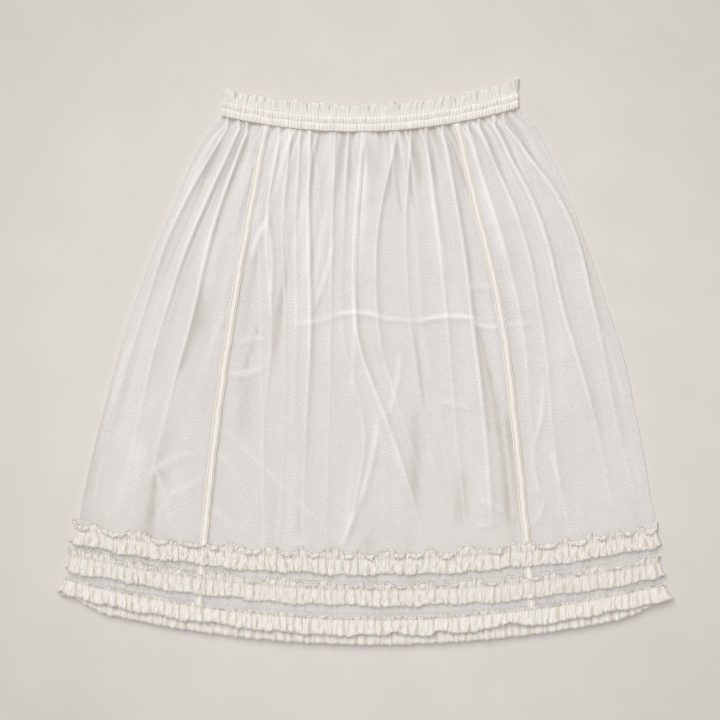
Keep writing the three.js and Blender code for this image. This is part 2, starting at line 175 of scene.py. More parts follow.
CREASES = (
    Crease("storage crease left", (-82, 44), (-30, 56), 0.8, 2.6, -3),
    Crease("storage crease middle", (-34, 55), (10, 54), 1.5, 2.6, 2),
    Crease("storage crease dip", (8, 53), (64, 48), 0.8, 2.6, -2),
    Crease("storage crease right", (60, 48), (122, 50), 1.7, 2.6, 3),
    Crease("scallop by the tape", (118, 47), (148, 42), 1.0, 2.6, -4),
    Crease("crease past the tape", (152, 42), (184, 46), 0.6, 2.8),
    Crease("faint upper crease", (112, 86), (144, 84), 0.8, 2.4, 2),
    Crease("short right crease", (80, -44), (112, -50), 0.9, 2.6, 2),
    Crease("left low crease", (-156, -12), (-116, -4), 1.0, 2.8, -3),
    Crease("left upper crease", (-144, 22), (-116, 28), 0.8, 2.4, 2),
    Crease("bend by the tape", (-166, -100), (-135, -146), 1.0, 2.4, 3),
    Crease("long left diagonal", (-160, -76), (-44, -190), 0.8, 2.0, 2),
    Crease("low diagonal by the tape", (-174, -163), (-143, -195), 1.0, 2.2, 2),
    Crease("side crossing", (-236, -122), (-217, -182), 0.9, 2.4),
    Crease("side diagonal", (-244, -124), (-198, -100), 1.1, 2.8, 3),
    Crease("side low diagonal", (-226, -150), (-184, -128), 0.8, 2.6),
    Crease("low right long", (196, -20), (184, -98), 1.2, 2.8, 4),
    Crease("low right turn", (184, -98), (198, -150), 1.1, 2.6, -4),
    Crease("low right edge", (198, -150), (184, -180), 1.0, 2.4, 3),
    Crease("low right short", (204, -100), (216, -136), 0.9, 2.6),
    Crease("inner crossing", (36, 12), (24, -54), 1.1, 2.6, 3),
    Crease("long hem ridge", (12, -58), (-12, -164), 1.5, 3.0, 4),
    Crease("low ridge", (-12, -164), (-30, -206), 1.2, 3.0),
    Crease("forked left arm", (-112, 160), (-130, 116), 1.5, 2.8, -3),
    Crease("forked right arm", (-112, 160), (-108, 76), 1.6, 2.8, 3),
    Crease("faint centre line", (-38, 136), (-60, 62), 0.9, 2.6, 2),
    Crease("crinkle by the tape", (126, -152), (150, -166), 1.0, 2.2, 2),
    Crease("crinkle by the ruffle", (122, -180), (146, -176), 1.0, 2.2, -2),
    Crease("crinkle left of the hem", (-96, -196), (-66, -204), 0.8, 2.2, 2),
    Crease("crinkle in the first gap", (-186, -232), (-160, -226), 1.2, 2.0, 3),
    Crease("crinkle in the second gap", (-130, -262), (-104, -276), 1.3, 2.0, 3),
    Crease("middle gap crinkle", (8, -276), (20, -262), 1.2, 2.0, 2),
    Crease("right gap crinkle", (96, -272), (132, -252), 1.5, 2.2, 5),
    Crease("tape gap crinkle", (196, -246), (222, -262), 1.3, 2.0, -3),
    Crease("right end crinkle", (252, -226), (270, -244), 1.3, 2.0, 4),
    Crease("right end zigzag", (270, -244), (290, -226), 1.2, 2.0, -3),
)

# Soft unevenness of the laid net: how tall, over which lengths across and down, and where each wave starts
BILLOWS = (
    (0.42, 83.0, 148.0, 0.4),
    (0.34, 47.0, -96.0, 1.9),
    (0.22, -31.0, 61.0, 4.1),
    (0.12, 17.0, 29.0, 2.6),
    (0.08, -13.0, 21.0, 5.2),
)


def smooth_step(start: float, end: float, value: np.ndarray) -> np.ndarray:
    """Goes smoothly from 0 at start to 1 at end."""
    share = np.clip((value - start) / (end - start), 0, 1)
    return share * share * (3 - 2 * share)


def mix(a: np.ndarray, b: np.ndarray, share: np.ndarray) -> np.ndarray:
    """The value at a share of the way from a to b."""
    return a + (b - a) * share


@dataclass(frozen=True)
class Wave:
    """A sine wave: its height, how fast it turns, and where it starts as a multiple of a seed."""

    height: float
    turns: float
    start: float = 0.0


def add_waves(x: np.ndarray, waves: tuple, seed: float = 1.0) -> np.ndarray:
    """The waves' sum along x."""
    return sum(wave.height * np.sin(x * wave.turns + wave.start * seed) for wave in waves)


class Track:
    """A smooth curve through values that are given at a few heights down the skirt."""

    def __init__(self, heights: tuple, values: tuple) -> None:
        """Keeps the values with their slopes.

        Args:
            heights: the heights, growing, as shares of the way down.
            values: one value for each height.
        """
        self.heights = np.asarray(heights, float)
        self.values = np.asarray(values, float)
        self.slopes = np.gradient(self.values, self.heights)

    def __call__(self, down: np.ndarray) -> np.ndarray:
        """The value at each height.

        Args:
            down: heights as shares of the way down.

        Returns:
            The curve's values, in the shape of down.
        """
        down = np.clip(down, self.heights[0], self.heights[-1])
        i = np.clip(np.searchsorted(self.heights, down) - 1, 0, len(self.heights) - 2)
        span = self.heights[i + 1] - self.heights[i]
        t = (down - self.heights[i]) / span
        start = self.values[i] * (1 + 2 * t) + self.slopes[i] * span * t
        end = self.values[i + 1] * (3 - 2 * t) + self.slopes[i + 1] * span * (t - 1)
        return start * (1 - t) ** 2 + end * t**2


@dataclass(frozen=True)
class Line:
    """Level lines as columns of values, one for each row of a piece."""

    left_x: np.ndarray
    left_y: np.ndarray
    right_x: np.ndarray
    right_y: np.ndarray
    sag: np.ndarray
    drop: np.ndarray

    def front_y(self, x: np.ndarray) -> np.ndarray:
        """y on the front at x."""
        share = (x - self.left_x) / (self.right_x - self.left_x)
        return mix(self.left_y, self.right_y, share) - self.sag * 4 * share * (1 - share)

    def back_y(self, x: np.ndarray) -> np.ndarray:
        """y on the back at x, which drops away from the side folds."""
        from_fold = np.minimum(x - self.left_x, self.right_x - x)
        return self.front_y(x) - self.drop * smooth_step(0, BACK_DROP_FADES_OVER, from_fold)


class Layout:
    """Where the laid skirt lies: its level lines, its seams and the unevenness of its net."""

    def __init__(self) -> None:
        """Makes the smooth tracks that the tables give."""
        heights = tuple(level.down for level in LEVELS)
        columns = ("left_x", "left_y", "right_x", "right_y", "sag")
        self.tracks = {c: Track(heights, tuple(getattr(v, c) for v in LEVELS)) for c in columns}
        self.seams = {name: Track(SEAM_HEIGHTS, x) for name, x in SEAMS.items()}

    def line(self, down: np.ndarray) -> Line:
        """The level lines at these heights, as a column of rows.

        Args:
            down: heights, one for each row.

        Returns:
            The lines' ends, sag and drop, each with one column.
        """
        values = {name: track(down)[:, None] for name, track in self.tracks.items()}
        return Line(drop=(BACK_DROP * down)[:, None], **values)

    def seam_x(self, name: str, down: np.ndarray) -> np.ndarray:
        """x of a seam at these heights, as a column of rows."""
        return self.seams[name](down)[:, None]

    def lift(self, down: np.ndarray) -> np.ndarray:
        """How far the ruffles under the net raise it at these heights, as a column of rows."""
        return RUFFLE_LIFT * smooth_step(LIFT_STARTS, LIFT_ENDS, down)[:, None]

    def billow(self, x: np.ndarray, y: np.ndarray) -> np.ndarray:
        """The soft unevenness of the front net at each point, never below its level."""
        waves = [rise * (1 + np.sin(x / wide + y / tall + start)) for rise, wide, tall, start in BILLOWS]
        return sum(waves)

    def crease(self, x: np.ndarray, y: np.ndarray) -> np.ndarray:
        """How far the pressed creases stand up at each point.

        Args:
            x: points across the skirt.
            y: points up the skirt.

        Returns:
            The creases' rise, in the shape of x.
        """
        total = np.zeros_like(x)
        for crease in CREASES:
            (x0, y0), (x1, y1) = crease.start, crease.end
            length = math.hypot(x1 - x0, y1 - y0)
            along_x, along_y = (x1 - x0) / length, (y1 - y0) / length
            along = ((x - x0) * along_x + (y - y0) * along_y) / length
            off = (y - y0) * along_x - (x - x0) * along_y
            off = off - crease.bow * 4 * along * (1 - along)
            window = smooth_step(-0.12, 0.2, along) * (1 - smooth_step(0.8, 1.12, along))
            total += crease.rise * window * np.exp(-((off / crease.width) ** 2))
        return total


# Mesh helpers


def smooth_object(name: str, points: np.ndarray, faces: list) -> bpy.types.Object:
    """Makes a smooth object at the origin from points in metres and the faces between them."""
    mesh = bpy.data.meshes.new(name)
    mesh.from_pydata(points.reshape(-1, 3).tolist(), [], faces)
    mesh.polygons.foreach_set("use_smooth", [True] * len(faces))
    mesh.update()
    piece = bpy.data.objects.new(name, mesh)
    bpy.context.scene.collection.objects.link(piece)
    return piece


def cloth_object(name: str, points: np.ndarray, uv: np.ndarray, ring: bool = False) -> bpy.types.Object:
    """Makes a smooth sheet through a grid of points, whose rows run down it.

    Args:
        name: the object's name.
        points: rows by columns by 3, in millimetres.
        uv: rows by columns by 2, in metres of cloth, with one more column if it is a ring.
        ring: whether the last column joins the first.

    Returns:
        The object, at the origin, with a UV map named Cloth.
    """
    rows, columns = points.shape[:2]
    stretches = columns if ring else columns - 1
    row, column = (a.ravel() for a in np.indices((rows - 1, stretches)))
    corners = ((row, column), (row + 1, column), (row + 1, column + 1), (row, column + 1))
    faces = np.stack([r * columns + c % columns for r, c in corners], axis=1)
    piece = smooth_object(name, points * MM, faces.tolist())
    layer = piece.data.uv_layers.new(name="Cloth")
    loops = np.stack([uv[r, c] for r, c in corners], axis=1)
    layer.data.foreach_set("uv", loops.astype(np.float32).ravel())
    return piece


def set_shade(piece: bpy.types.Object, name: str, values: np.ndarray) -> None:
    """Keeps a value for each vertex as an attribute that the finish reads."""
    attribute = piece.data.attributes.new(name, "FLOAT", "POINT")
    attribute.data.foreach_set("value", np.asarray(values, np.float32).ravel())


def thicken(piece: bpy.types.Object, wall: float) -> None:
    """Gives a sheet a wall of this many millimetres, on its inner side."""
    bpy.ops.object.select_all(action="DESELECT")
    bpy.context.view_layer.objects.active = piece
    piece.select_set(True)
    modifier = piece.modifiers.new("Solidify", "SOLIDIFY")
    modifier.thickness = wall * MM
    modifier.offset = -1.0
    bpy.ops.object.modifier_apply(modifier=modifier.name)
    piece.select_set(False)


def unit(vectors: np.ndarray) -> np.ndarray:
    """The vectors at length one."""
    return vectors / np.maximum(np.linalg.norm(vectors, axis=-1, keepdims=True), 1e-9)


@dataclass(frozen=True)
class Places:
    """Where copies of a small thing go: their middles and the ways of their length, width and height."""

    middle: np.ndarray
    along: np.ndarray
    across: np.ndarray
    up: np.ndarray

    @staticmethod
    def level(middle: np.ndarray, along: np.ndarray) -> "Places":
        """Places whose copies lie flat, with their width across the path."""
        up = np.tile([0.0, 0.0, 1.0], (len(along), 1))
        return Places(middle, along, np.cross(up, along), up)


def scatter(name: str, pattern: bpy.types.Object, places: Places) -> bpy.types.Object:
    """Makes one mesh of a copy of the pattern at each place, and removes the pattern.

    Args:
        name: the new object's name.
        pattern: a small mesh object at the origin, in metres.
        places: the places, in millimetres.

    Returns:
        The joined object.
    """
    count = len(pattern.data.vertices)
    corners = np.array([v.co for v in pattern.data.vertices], float)
    faces = [tuple(p.vertices) for p in pattern.data.polygons]
    ways = np.stack([places.along, places.across, places.up], axis=1)
    points = places.middle[:, None, :] * MM + np.einsum("vk,pkj->pvj", corners, ways)
    all_faces = [tuple(i + count * n for i in face) for n in range(len(points)) for face in faces]
    bpy.data.objects.remove(pattern)
    return smooth_object(name, points, all_faces)


def stitch_pattern(length: float, thick: float) -> bpy.types.Object:
    """Models one stitch: a short thread, rounded at its ends.

    Args:
        length: its length in millimetres.
        thick: its thickness in millimetres.

    Returns:
        The stitch along X at the origin.
    """
    bpy.ops.object.select_all(action="DESELECT")
    bpy.ops.mesh.primitive_uv_sphere_add(segments=6, ring_count=4, radius=0.5 * MM)
    stitch = bpy.context.active_object
    stitch.scale = (thick, thick, length)
    stitch.rotation_euler = (0, math.pi / 2, 0)
    bpy.ops.object.transform_apply(location=False, rotation=True, scale=True)
    stitch.select_set(False)
    return stitch


def loop_pattern(width: float, thick: float) -> bpy.types.Object:
    """Models one picot: a tiny ring of thread, drawn out along the edge's outward way.

    Args:
        width: its outer width in millimetres.
        thick: the thread's thickness in millimetres.

    Returns:
        The ring in the XY plane at the origin.
    """
    bpy.ops.object.select_all(action="DESELECT")
    bpy.ops.mesh.primitive_torus_add(
        major_segments=8,
        minor_segments=3,
        major_radius=(width - thick) / 2 * MM,
        minor_radius=thick / 2 * MM,
    )
    ring = bpy.context.active_object
    ring.scale = (1.0, LOOP_DRAWN_OUT, 1.0)
    bpy.ops.object.transform_apply(location=False, rotation=False, scale=True)
    ring.select_set(False)
    return ring


def along_path(path: np.ndarray, pitch: float, start: float = 0.0) -> tuple:
    """Spaces places evenly along a path.

    Args:
        path: points by 3, in millimetres.
        pitch: the distance from one place to the next.
        start: the first place's distance from the path's start.

    Returns:
        The middles and the path's own way at each.
    """
    steps = np.linalg.norm(np.diff(path, axis=0), axis=1)
    reach = np.concatenate([[0.0], np.cumsum(steps)])
    at = np.arange(start, reach[-1], pitch)
    behind, middle, ahead = (
        np.stack([np.interp(at + shift * pitch, reach, path[:, k]) for k in range(3)], axis=1)
        for shift in (-0.5, 0, 0.5)
    )
    return middle, unit(ahead - behind)


def finish_piece(piece: bpy.types.Object, material: bpy.types.Material, slot: Slot, *nodes: str) -> None:
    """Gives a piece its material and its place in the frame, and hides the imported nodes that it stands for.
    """
    piece.data.materials.clear()
    piece.data.materials.append(material)
    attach(piece, BODY)
    if nodes:
        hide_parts(*nodes)


# Finishes


class Graph:
    """A short way to add and link shader nodes in one tree."""

    def __init__(self, tree: bpy.types.NodeTree) -> None:
        """Works on this tree."""
        self.tree = tree

    def add(self, kind: str, **settings: object) -> bpy.types.Node:
        """Adds a node and sets what is named.

        Args:
            kind: the node's type.
            settings: its properties by name.

        Returns:
            The node.
        """
        node = self.tree.nodes.new(kind)
        for setting, value in settings.items():
            setattr(node, setting, value)
        return node

    def put(self, socket: bpy.types.NodeSocket, value: object) -> None:
        """Links an output to a socket, or sets the socket to a plain value."""
        if isinstance(value, bpy.types.NodeSocket):
            self.tree.links.new(value, socket)
        else:
            socket.default_value = value

    def math(self, operation: str, a: object, b: object = 0.0) -> bpy.types.NodeSocket:
        """A math node's result for two values or sockets."""
        node = self.add("ShaderNodeMath", operation=operation)
        self.put(node.inputs[0], a)
        self.put(node.inputs[1], b)
        return node.outputs[0]

    def remap(
        self, value: object, low: float, high: float, to_low: float = 0.0, to_high: float = 1.0
    ) -> bpy.types.NodeSocket:
        """Takes a value's range from low to high smoothly onto another range."""
        node = self.add("ShaderNodeMapRange", interpolation_type="SMOOTHSTEP")
        for socket, entry in zip(node.inputs, (value, low, high, to_low, to_high)):
            self.put(socket, entry)
        return node.outputs[0]

    def uneven(self, noise: object, to_low: float = 0.0, to_high: float = 1.0) -> bpy.types.NodeSocket:
        """Takes the middle of a noise's range smoothly onto another range."""
        return self.remap(noise, 0.3, 0.7, to_low, to_high)

    def blend(self, share: object, a: object, b: object) -> bpy.types.NodeSocket:
        """The colour at a share of the way from a to b."""
        node = self.add("ShaderNodeMix", data_type="RGBA")
        self.put(node.inputs["Factor"], share)
        self.put(node.inputs[6], a)
        self.put(node.inputs[7], b)
        return node.outputs[2]

    def noise(self, vector: object, scale: object, detail: float = 2.0) -> bpy.types.NodeSocket:
        """Noise of this scale, from 0 to 1."""
        node = self.add("ShaderNodeTexNoise")
        for socket, value in (("Vector", vector), ("Scale", scale), ("Detail", detail)):
            self.put(node.inputs[socket], value)
        return node.outputs["Fac"]

    def bump(self, height: bpy.types.NodeSocket, strength: float, distance: float) -> bpy.types.NodeSocket:
        """The normal of a surface with this height."""
        node = self.add("ShaderNodeBump")
        node.inputs["Strength"].default_value = strength
        node.inputs["Distance"].default_value = distance
        self.put(node.inputs["Height"], height)
        return node.outputs["Normal"]

    def part(self, vector: bpy.types.NodeSocket, axis: str) -> bpy.types.NodeSocket:
        """One part of a vector."""
        parts = self.add("ShaderNodeSeparateXYZ")
        self.put(parts.inputs[0], vector)
        return parts.outputs[axis]

    def cloth_uv(self) -> bpy.types.NodeSocket:
        """The piece's own cloth map, in metres."""
        return self.add("ShaderNodeUVMap", uv_map="Cloth").outputs["UV"]

    def place(self) -> bpy.types.NodeSocket:
        """Object coordinates."""
        return self.add("ShaderNodeTexCoord").outputs["Object"]

    def shade(self, name: str) -> bpy.types.NodeSocket:
        """An attribute of the piece."""
        return self.add("ShaderNodeAttribute", attribute_name=name).outputs["Fac"]


def new_group(name: str, inputs: dict, outputs: dict) -> tuple:
    """Starts a shader node group with named sockets.

    Args:
        name: the group's name.
        inputs: socket types by name.
        outputs: socket types by name.

    Returns:
        The group, its graph, its input node and its output node.
    """
    tree = bpy.data.node_groups.new(name, "ShaderNodeTree")
    for socket, kind in inputs.items():
        tree.interface.new_socket(socket, in_out="INPUT", socket_type=kind)
    for socket, kind in outputs.items():
        tree.interface.new_socket(socket, in_out="OUTPUT", socket_type=kind)
    graph = Graph(tree)
    return tree, graph, graph.add("NodeGroupInput"), graph.add("NodeGroupOutput")


class SharedEffects:
    """The node groups that several finishes use, each made once."""

    def __init__(self) -> None:
        """Builds the groups."""
        self.net = self.net_mesh()
        self.thread = self.thread_grain()

    def net_mesh(self) -> bpy.types.NodeTree:
        """The net's round holes in a six-sided array, as a mask of its threads."""
        tree, graph, source, sink = new_group(
            "Net mesh",
            {"Vector": "NodeSocketVector", "Pitch": "NodeSocketFloat"},
            {"Thread": "NodeSocketFloat"},
        )
        turns = graph.math("DIVIDE", 2 * math.pi, source.outputs["Pitch"])
        total = None
        for angle in (0.0, math.pi / 3, 2 * math.pi / 3):
            dot = graph.add("ShaderNodeVectorMath", operation="DOT_PRODUCT")
            graph.put(dot.inputs[0], source.outputs["Vector"])
            dot.inputs[1].default_value = (math.cos(angle), math.sin(angle), 0.0)
            wave = graph.math("COSINE", graph.math("MULTIPLY", dot.outputs["Value"], turns))
            total = wave if total is None else graph.math("ADD", total, wave)
        graph.put(sink.inputs["Thread"], graph.remap(total, -0.7, 0.9, 1.0, 0.0))
        return tree

    def thread_grain(self) -> bpy.types.NodeTree:
        """Spun thread: a fine woven height and a slow change of tone."""
        tree, graph, source, sink = new_group(
            "Thread grain",
            {"Vector": "NodeSocketVector", "Threads": "NodeSocketFloat", "Tone scale": "NodeSocketFloat"},
            {"Height": "NodeSocketFloat", "Tone": "NodeSocketFloat"},
        )
        vector, threads = source.outputs["Vector"], source.outputs["Threads"]
        turns = [graph.math("MULTIPLY", graph.part(vector, axis), threads) for axis in "XY"]
        woven = graph.math("MULTIPLY", *(graph.math("SINE", turn) for turn in turns))
        fuzz = graph.noise(vector, graph.math("MULTIPLY", threads, 0.4))
        height = graph.math("ADD", graph.math("MULTIPLY", woven, 0.3), fuzz)
        graph.put(sink.inputs["Height"], height)
        graph.put(sink.inputs["Tone"], graph.noise(vector, source.outputs["Tone scale"]))
        return tree

    def use(self, graph: Graph, tree: bpy.types.NodeTree, **inputs: object) -> bpy.types.Node:
        """Places a group in a material with its own values."""
        node = graph.add("ShaderNodeGroup", node_tree=tree)
        for socket, value in inputs.items():
            graph.put(node.inputs[socket.replace("_", " ")], value)
        return node


def dimmed(colour: tuple, share: float) -> tuple:
    """The colour at this share of its brightness."""
    return tuple(share * c for c in colour[:3]) + (1.0,)


def start_material(name: str) -> tuple:
    """A new material with its graph and its main shader."""
    material = bpy.data.materials.new(name)
    material.use_nodes = True
    material.use_backface_culling = False
    shader = material.node_tree.nodes["Principled BSDF"]
    return material, Graph(material.node_tree), shader


@dataclass(frozen=True)
class NetFinish:
    """Fine see-through net. cover is how much of the view its holes and its threads stop.

    The attribute gather is how many layers it counts as, and below one the colour is darkened towards a warm
    painted shade for the net's hollows.
    """

    name: str = "ivory_net"
    colour: tuple = (0.988, 0.975, 0.964, 1.0)
    # painted shade: the dark warm tone that the net's hollows are tinted towards
    painted_hollow_colour: tuple = (0.56, 0.505, 0.45, 1.0)
    least_layers: float = 0.8
    hole_cover: float = 0.28
    thread_cover: float = 0.39
    pitch: float = 1.35 * MM
    grain: float = 620.0
    patch_scale: float = 24.0
    tone_scale: float = 60.0

    def build(self, effects: SharedEffects) -> bpy.types.Material:
        """Makes the material.

        Args:
            effects: the shared node groups.

        Returns:
            The net's material.
        """
        material, graph, shader = start_material(self.name)
        uv = graph.cloth_uv()
        mesh = effects.use(graph, effects.net, Vector=uv, Pitch=self.pitch)
        cover = graph.remap(mesh.outputs["Thread"], 0.0, 1.0, self.hole_cover, self.thread_cover)
        patches = graph.uneven(graph.noise(graph.place(), self.patch_scale), 0.78, 1.22)
        speckle = graph.uneven(graph.noise(uv, self.grain), 0.66, 1.34)
        gather = graph.math("MAXIMUM", graph.shade("gather"), self.least_layers)
        layers = graph.math("MULTIPLY", graph.math("MULTIPLY", gather, patches), speckle)
        open_share = graph.math("POWER", graph.math("SUBTRACT", 1.0, cover), layers)
        graph.put(shader.inputs["Alpha"], graph.math("SUBTRACT", 1.0, open_share))
        dull = dimmed(self.colour, 0.985)
        cloth = graph.blend(graph.noise(graph.place(), self.tone_scale), dull, self.colour)
        # painted shade: below one layer the net's colour is darkened towards the hollows' shade tone
        painted_hollow = graph.remap(graph.shade("gather"), 0.0, 0.95, 1.0, 0.0)
        graph.put(shader.inputs["Base Color"], graph.blend(painted_hollow, cloth, self.painted_hollow_colour))
        shader.inputs["Roughness"].default_value = 0.9
        shader.inputs["Specular IOR Level"].default_value = 0.2
        graph.put(shader.inputs["Normal"], graph.bump(mesh.outputs["Thread"], 0.15, 0.1 * MM))
        return material


@dataclass(frozen=True)
class ThreadedFinish:
    """Opaque cotton cloth with a thread grain: the tape, the band and the sewing threads.

    Where crease shade is painted, a vertex attribute darkens its colour towards a tan painted shade, for the
    shade in its creases and along its stitches.
    """

    name: str
    colour: tuple
    dark: tuple
    # painted shade: the tan that the cloth is darkened towards in creases and along stitches
    painted_crease_colour: tuple = (0.66, 0.57, 0.47, 1.0)
    crease_shade_painted: bool = False
    threads: float = 9000.0
    tone_scale: float = 90.0
    bump: float = 0.35
    wants_uv: bool = True

    def build(self, effects: SharedEffects) -> bpy.types.Material:
        """Makes the material.

        Args:
            effects: the shared node groups.

        Returns:
            The cloth's material.
        """
        material, graph, shader = start_material(self.name)
        vector = graph.cloth_uv() if self.wants_uv else graph.place()
        grain = effects.use(
            graph, effects.thread, Vector=vector, Threads=self.threads, Tone_scale=self.tone_scale
        )
        colour = graph.blend(graph.uneven(grain.outputs["Tone"]), self.dark, self.colour)
        # painted shade in creases and along stitches
        if self.crease_shade_painted:
            crease = graph.remap(graph.shade("painted_crevice_shade"), 0.15, 1.0, 0.0, 0.85)
            colour = graph.blend(crease, colour, self.painted_crease_colour)
        graph.put(shader.inputs["Base Color"], colour)
        shader.inputs["Roughness"].default_value = 0.85
        shader.inputs["Specular IOR Level"].default_value = 0.25
        graph.put(shader.inputs["Normal"], graph.bump(grain.outputs["Height"], self.bump, 0.2 * MM))
        return material


@dataclass(frozen=True)
class LaceFinish:
    """Cotton lace with a row of eyelets along its edge and small holes.

    The attribute away is 1 on the back, whose cloth is whiter but darkened with painted shade, and a second
    attribute says how deep a point lies in a crease, where painted shade darkens the colour.
    """

    name: str = "cream_lace"
    colour: tuple = (0.945, 0.915, 0.87, 1.0)
    # the back's cloth: whiter and cooler than the front, and darkened with painted shade for the shade it
    # lies in under the net
    back_colour_with_shade: tuple = (0.905, 0.885, 0.855, 1.0)
    # painted shade: the warm dark tone that creases are tinted towards
    painted_crease_colour: tuple = (0.66, 0.57, 0.46, 1.0)
    # painted shade: eyelets and small holes are not cut but tinted darker for the shade seen through them
    hole_shade_colour: tuple = (0.77, 0.7, 0.6, 1.0)
    eyelet_pitch: float = 3.6 * MM
    eyelet_size: float = 0.55 * MM
    edge_inset: float = 2.4 * MM
    hole_scale: float = 520.0

    def eyelets(self, graph: Graph, uv: bpy.types.NodeSocket) -> bpy.types.NodeSocket:
        """A mask of one row of round eyelets along the edge."""
        cell = graph.math("FRACT", graph.math("DIVIDE", graph.part(uv, "X"), self.eyelet_pitch))
        beside = graph.math("MULTIPLY", graph.math("SUBTRACT", cell, 0.5), self.eyelet_pitch)
        above = graph.math("SUBTRACT", graph.part(uv, "Y"), self.edge_inset)
        squares = graph.math("ADD", graph.math("POWER", beside, 2.0), graph.math("POWER", above, 2.0))
        off, size = graph.math("SQRT", squares), self.eyelet_size
        return graph.remap(off, 0.7 * size, 1.3 * size, 1.0, 0.0)

    def holes(self, graph: Graph, uv: bpy.types.NodeSocket) -> bpy.types.NodeSocket:
        """A mask of scattered small holes in the lace's pattern."""
        dots = graph.add("ShaderNodeTexVoronoi", voronoi_dimensions="2D")
        graph.put(dots.inputs["Vector"], uv)
        dots.inputs["Scale"].default_value = self.hole_scale
        small = graph.remap(dots.outputs["Distance"], 0.1, 0.32, 0.6, 0.0)
        near_edge = graph.remap(graph.part(uv, "Y"), 4.0 * MM, 9.0 * MM, 1.0, 0.45)
        return graph.math("MULTIPLY", small, near_edge)

    def build(self, effects: SharedEffects) -> bpy.types.Material:
        """Makes the material.

        Args:
            effects: the shared node groups.

        Returns:
            The lace's material. The cloth map's V is the distance in from the nearest edge.
        """
        material, graph, shader = start_material(self.name)
        uv = graph.cloth_uv()
        holes = graph.math("MAXIMUM", self.eyelets(graph, uv), self.holes(graph, uv))
        grain = effects.use(graph, effects.thread, Vector=uv, Threads=7000.0, Tone_scale=420.0)
        tone = graph.uneven(grain.outputs["Tone"])
        warm = graph.blend(tone, dimmed(self.colour, 0.86), self.colour)
        # the back half's colour, darkened with painted shade
        cool_and_shaded = graph.blend(tone, dimmed(self.back_colour_with_shade, 0.87), self.back_colour_with_shade)
        cloth = graph.blend(graph.shade("away"), warm, cool_and_shaded)
        # painted shade in the creases of the gathers
        crease = graph.remap(graph.shade("painted_crevice_shade"), 0.1, 0.95, 0.0, 0.9)
        crease_shade_painted = graph.blend(crease, cloth, self.painted_crease_colour)
        # painted shade in the eyelets and holes
        graph.put(shader.inputs["Base Color"], graph.blend(holes, crease_shade_painted, self.hole_shade_colour))
        shader.inputs["Roughness"].default_value = 0.9
        shader.inputs["Specular IOR Level"].default_value = 0.2
        height = graph.math("SUBTRACT", grain.outputs["Height"], graph.math("MULTIPLY", holes, 1.2))
        graph.put(shader.inputs["Normal"], graph.bump(height, 0.5, 0.25 * MM))
        return material


@dataclass(frozen=True)
class Finishes:
    """Every material of the skirt."""

    net: bpy.types.Material
    seam: bpy.types.Material
    tape: bpy.types.Material
    band: bpy.types.Material
    lace: bpy.types.Material
    picot: bpy.types.Material
    thread: bpy.types.Material
    ruffle_thread: bpy.types.Material


def build_finishes() -> Finishes:
    """Makes the shared effects and every material."""
    effects = SharedEffects()
    finishes = {
        "net": NetFinish(),
        "seam": NetFinish(name="doubled_net", hole_cover=0.36, thread_cover=0.6, pitch=1.1 * MM),
        "tape": ThreadedFinish(
            "cream_tape",
            colour=(0.93, 0.9, 0.855, 1.0),
            dark=(0.9, 0.865, 0.81, 1.0),
            # painted shade along the tape's stitch rows
            painted_crease_colour=(0.78, 0.69, 0.58, 1.0),
            crease_shade_painted=True,
        ),
        "band": ThreadedFinish(
            "shirred_net",
            colour=(0.935, 0.916, 0.888, 1.0),
            dark=(0.895, 0.868, 0.832, 1.0),
            threads=6000.0,
            crease_shade_painted=True,
        ),
        "lace": LaceFinish(),
        "picot": ThreadedFinish(
            "picot_thread", colour=(0.97, 0.945, 0.905, 1.0), dark=(0.93, 0.9, 0.85, 1.0), wants_uv=False
        ),
        "thread": ThreadedFinish(
            "sewing_thread", colour=(0.62, 0.5, 0.37, 1.0), dark=(0.53, 0.42, 0.3, 1.0), wants_uv=False
        ),
        "ruffle_thread": ThreadedFinish(
            "ruffle_thread", colour=(0.88, 0.82, 0.73, 1.0), dark=(0.82, 0.75, 0.65, 1.0), wants_uv=False
        ),
    }
    return Finishes(**{name: finish.build(effects) for name, finish in finishes.items()})


# The net


@dataclass
class Sweep:
    """One stretch of the net across the skirt: x, the rise over its level and how dense the net is."""

    x: np.ndarray
    rise: np.ndarray
    pack: np.ndarray


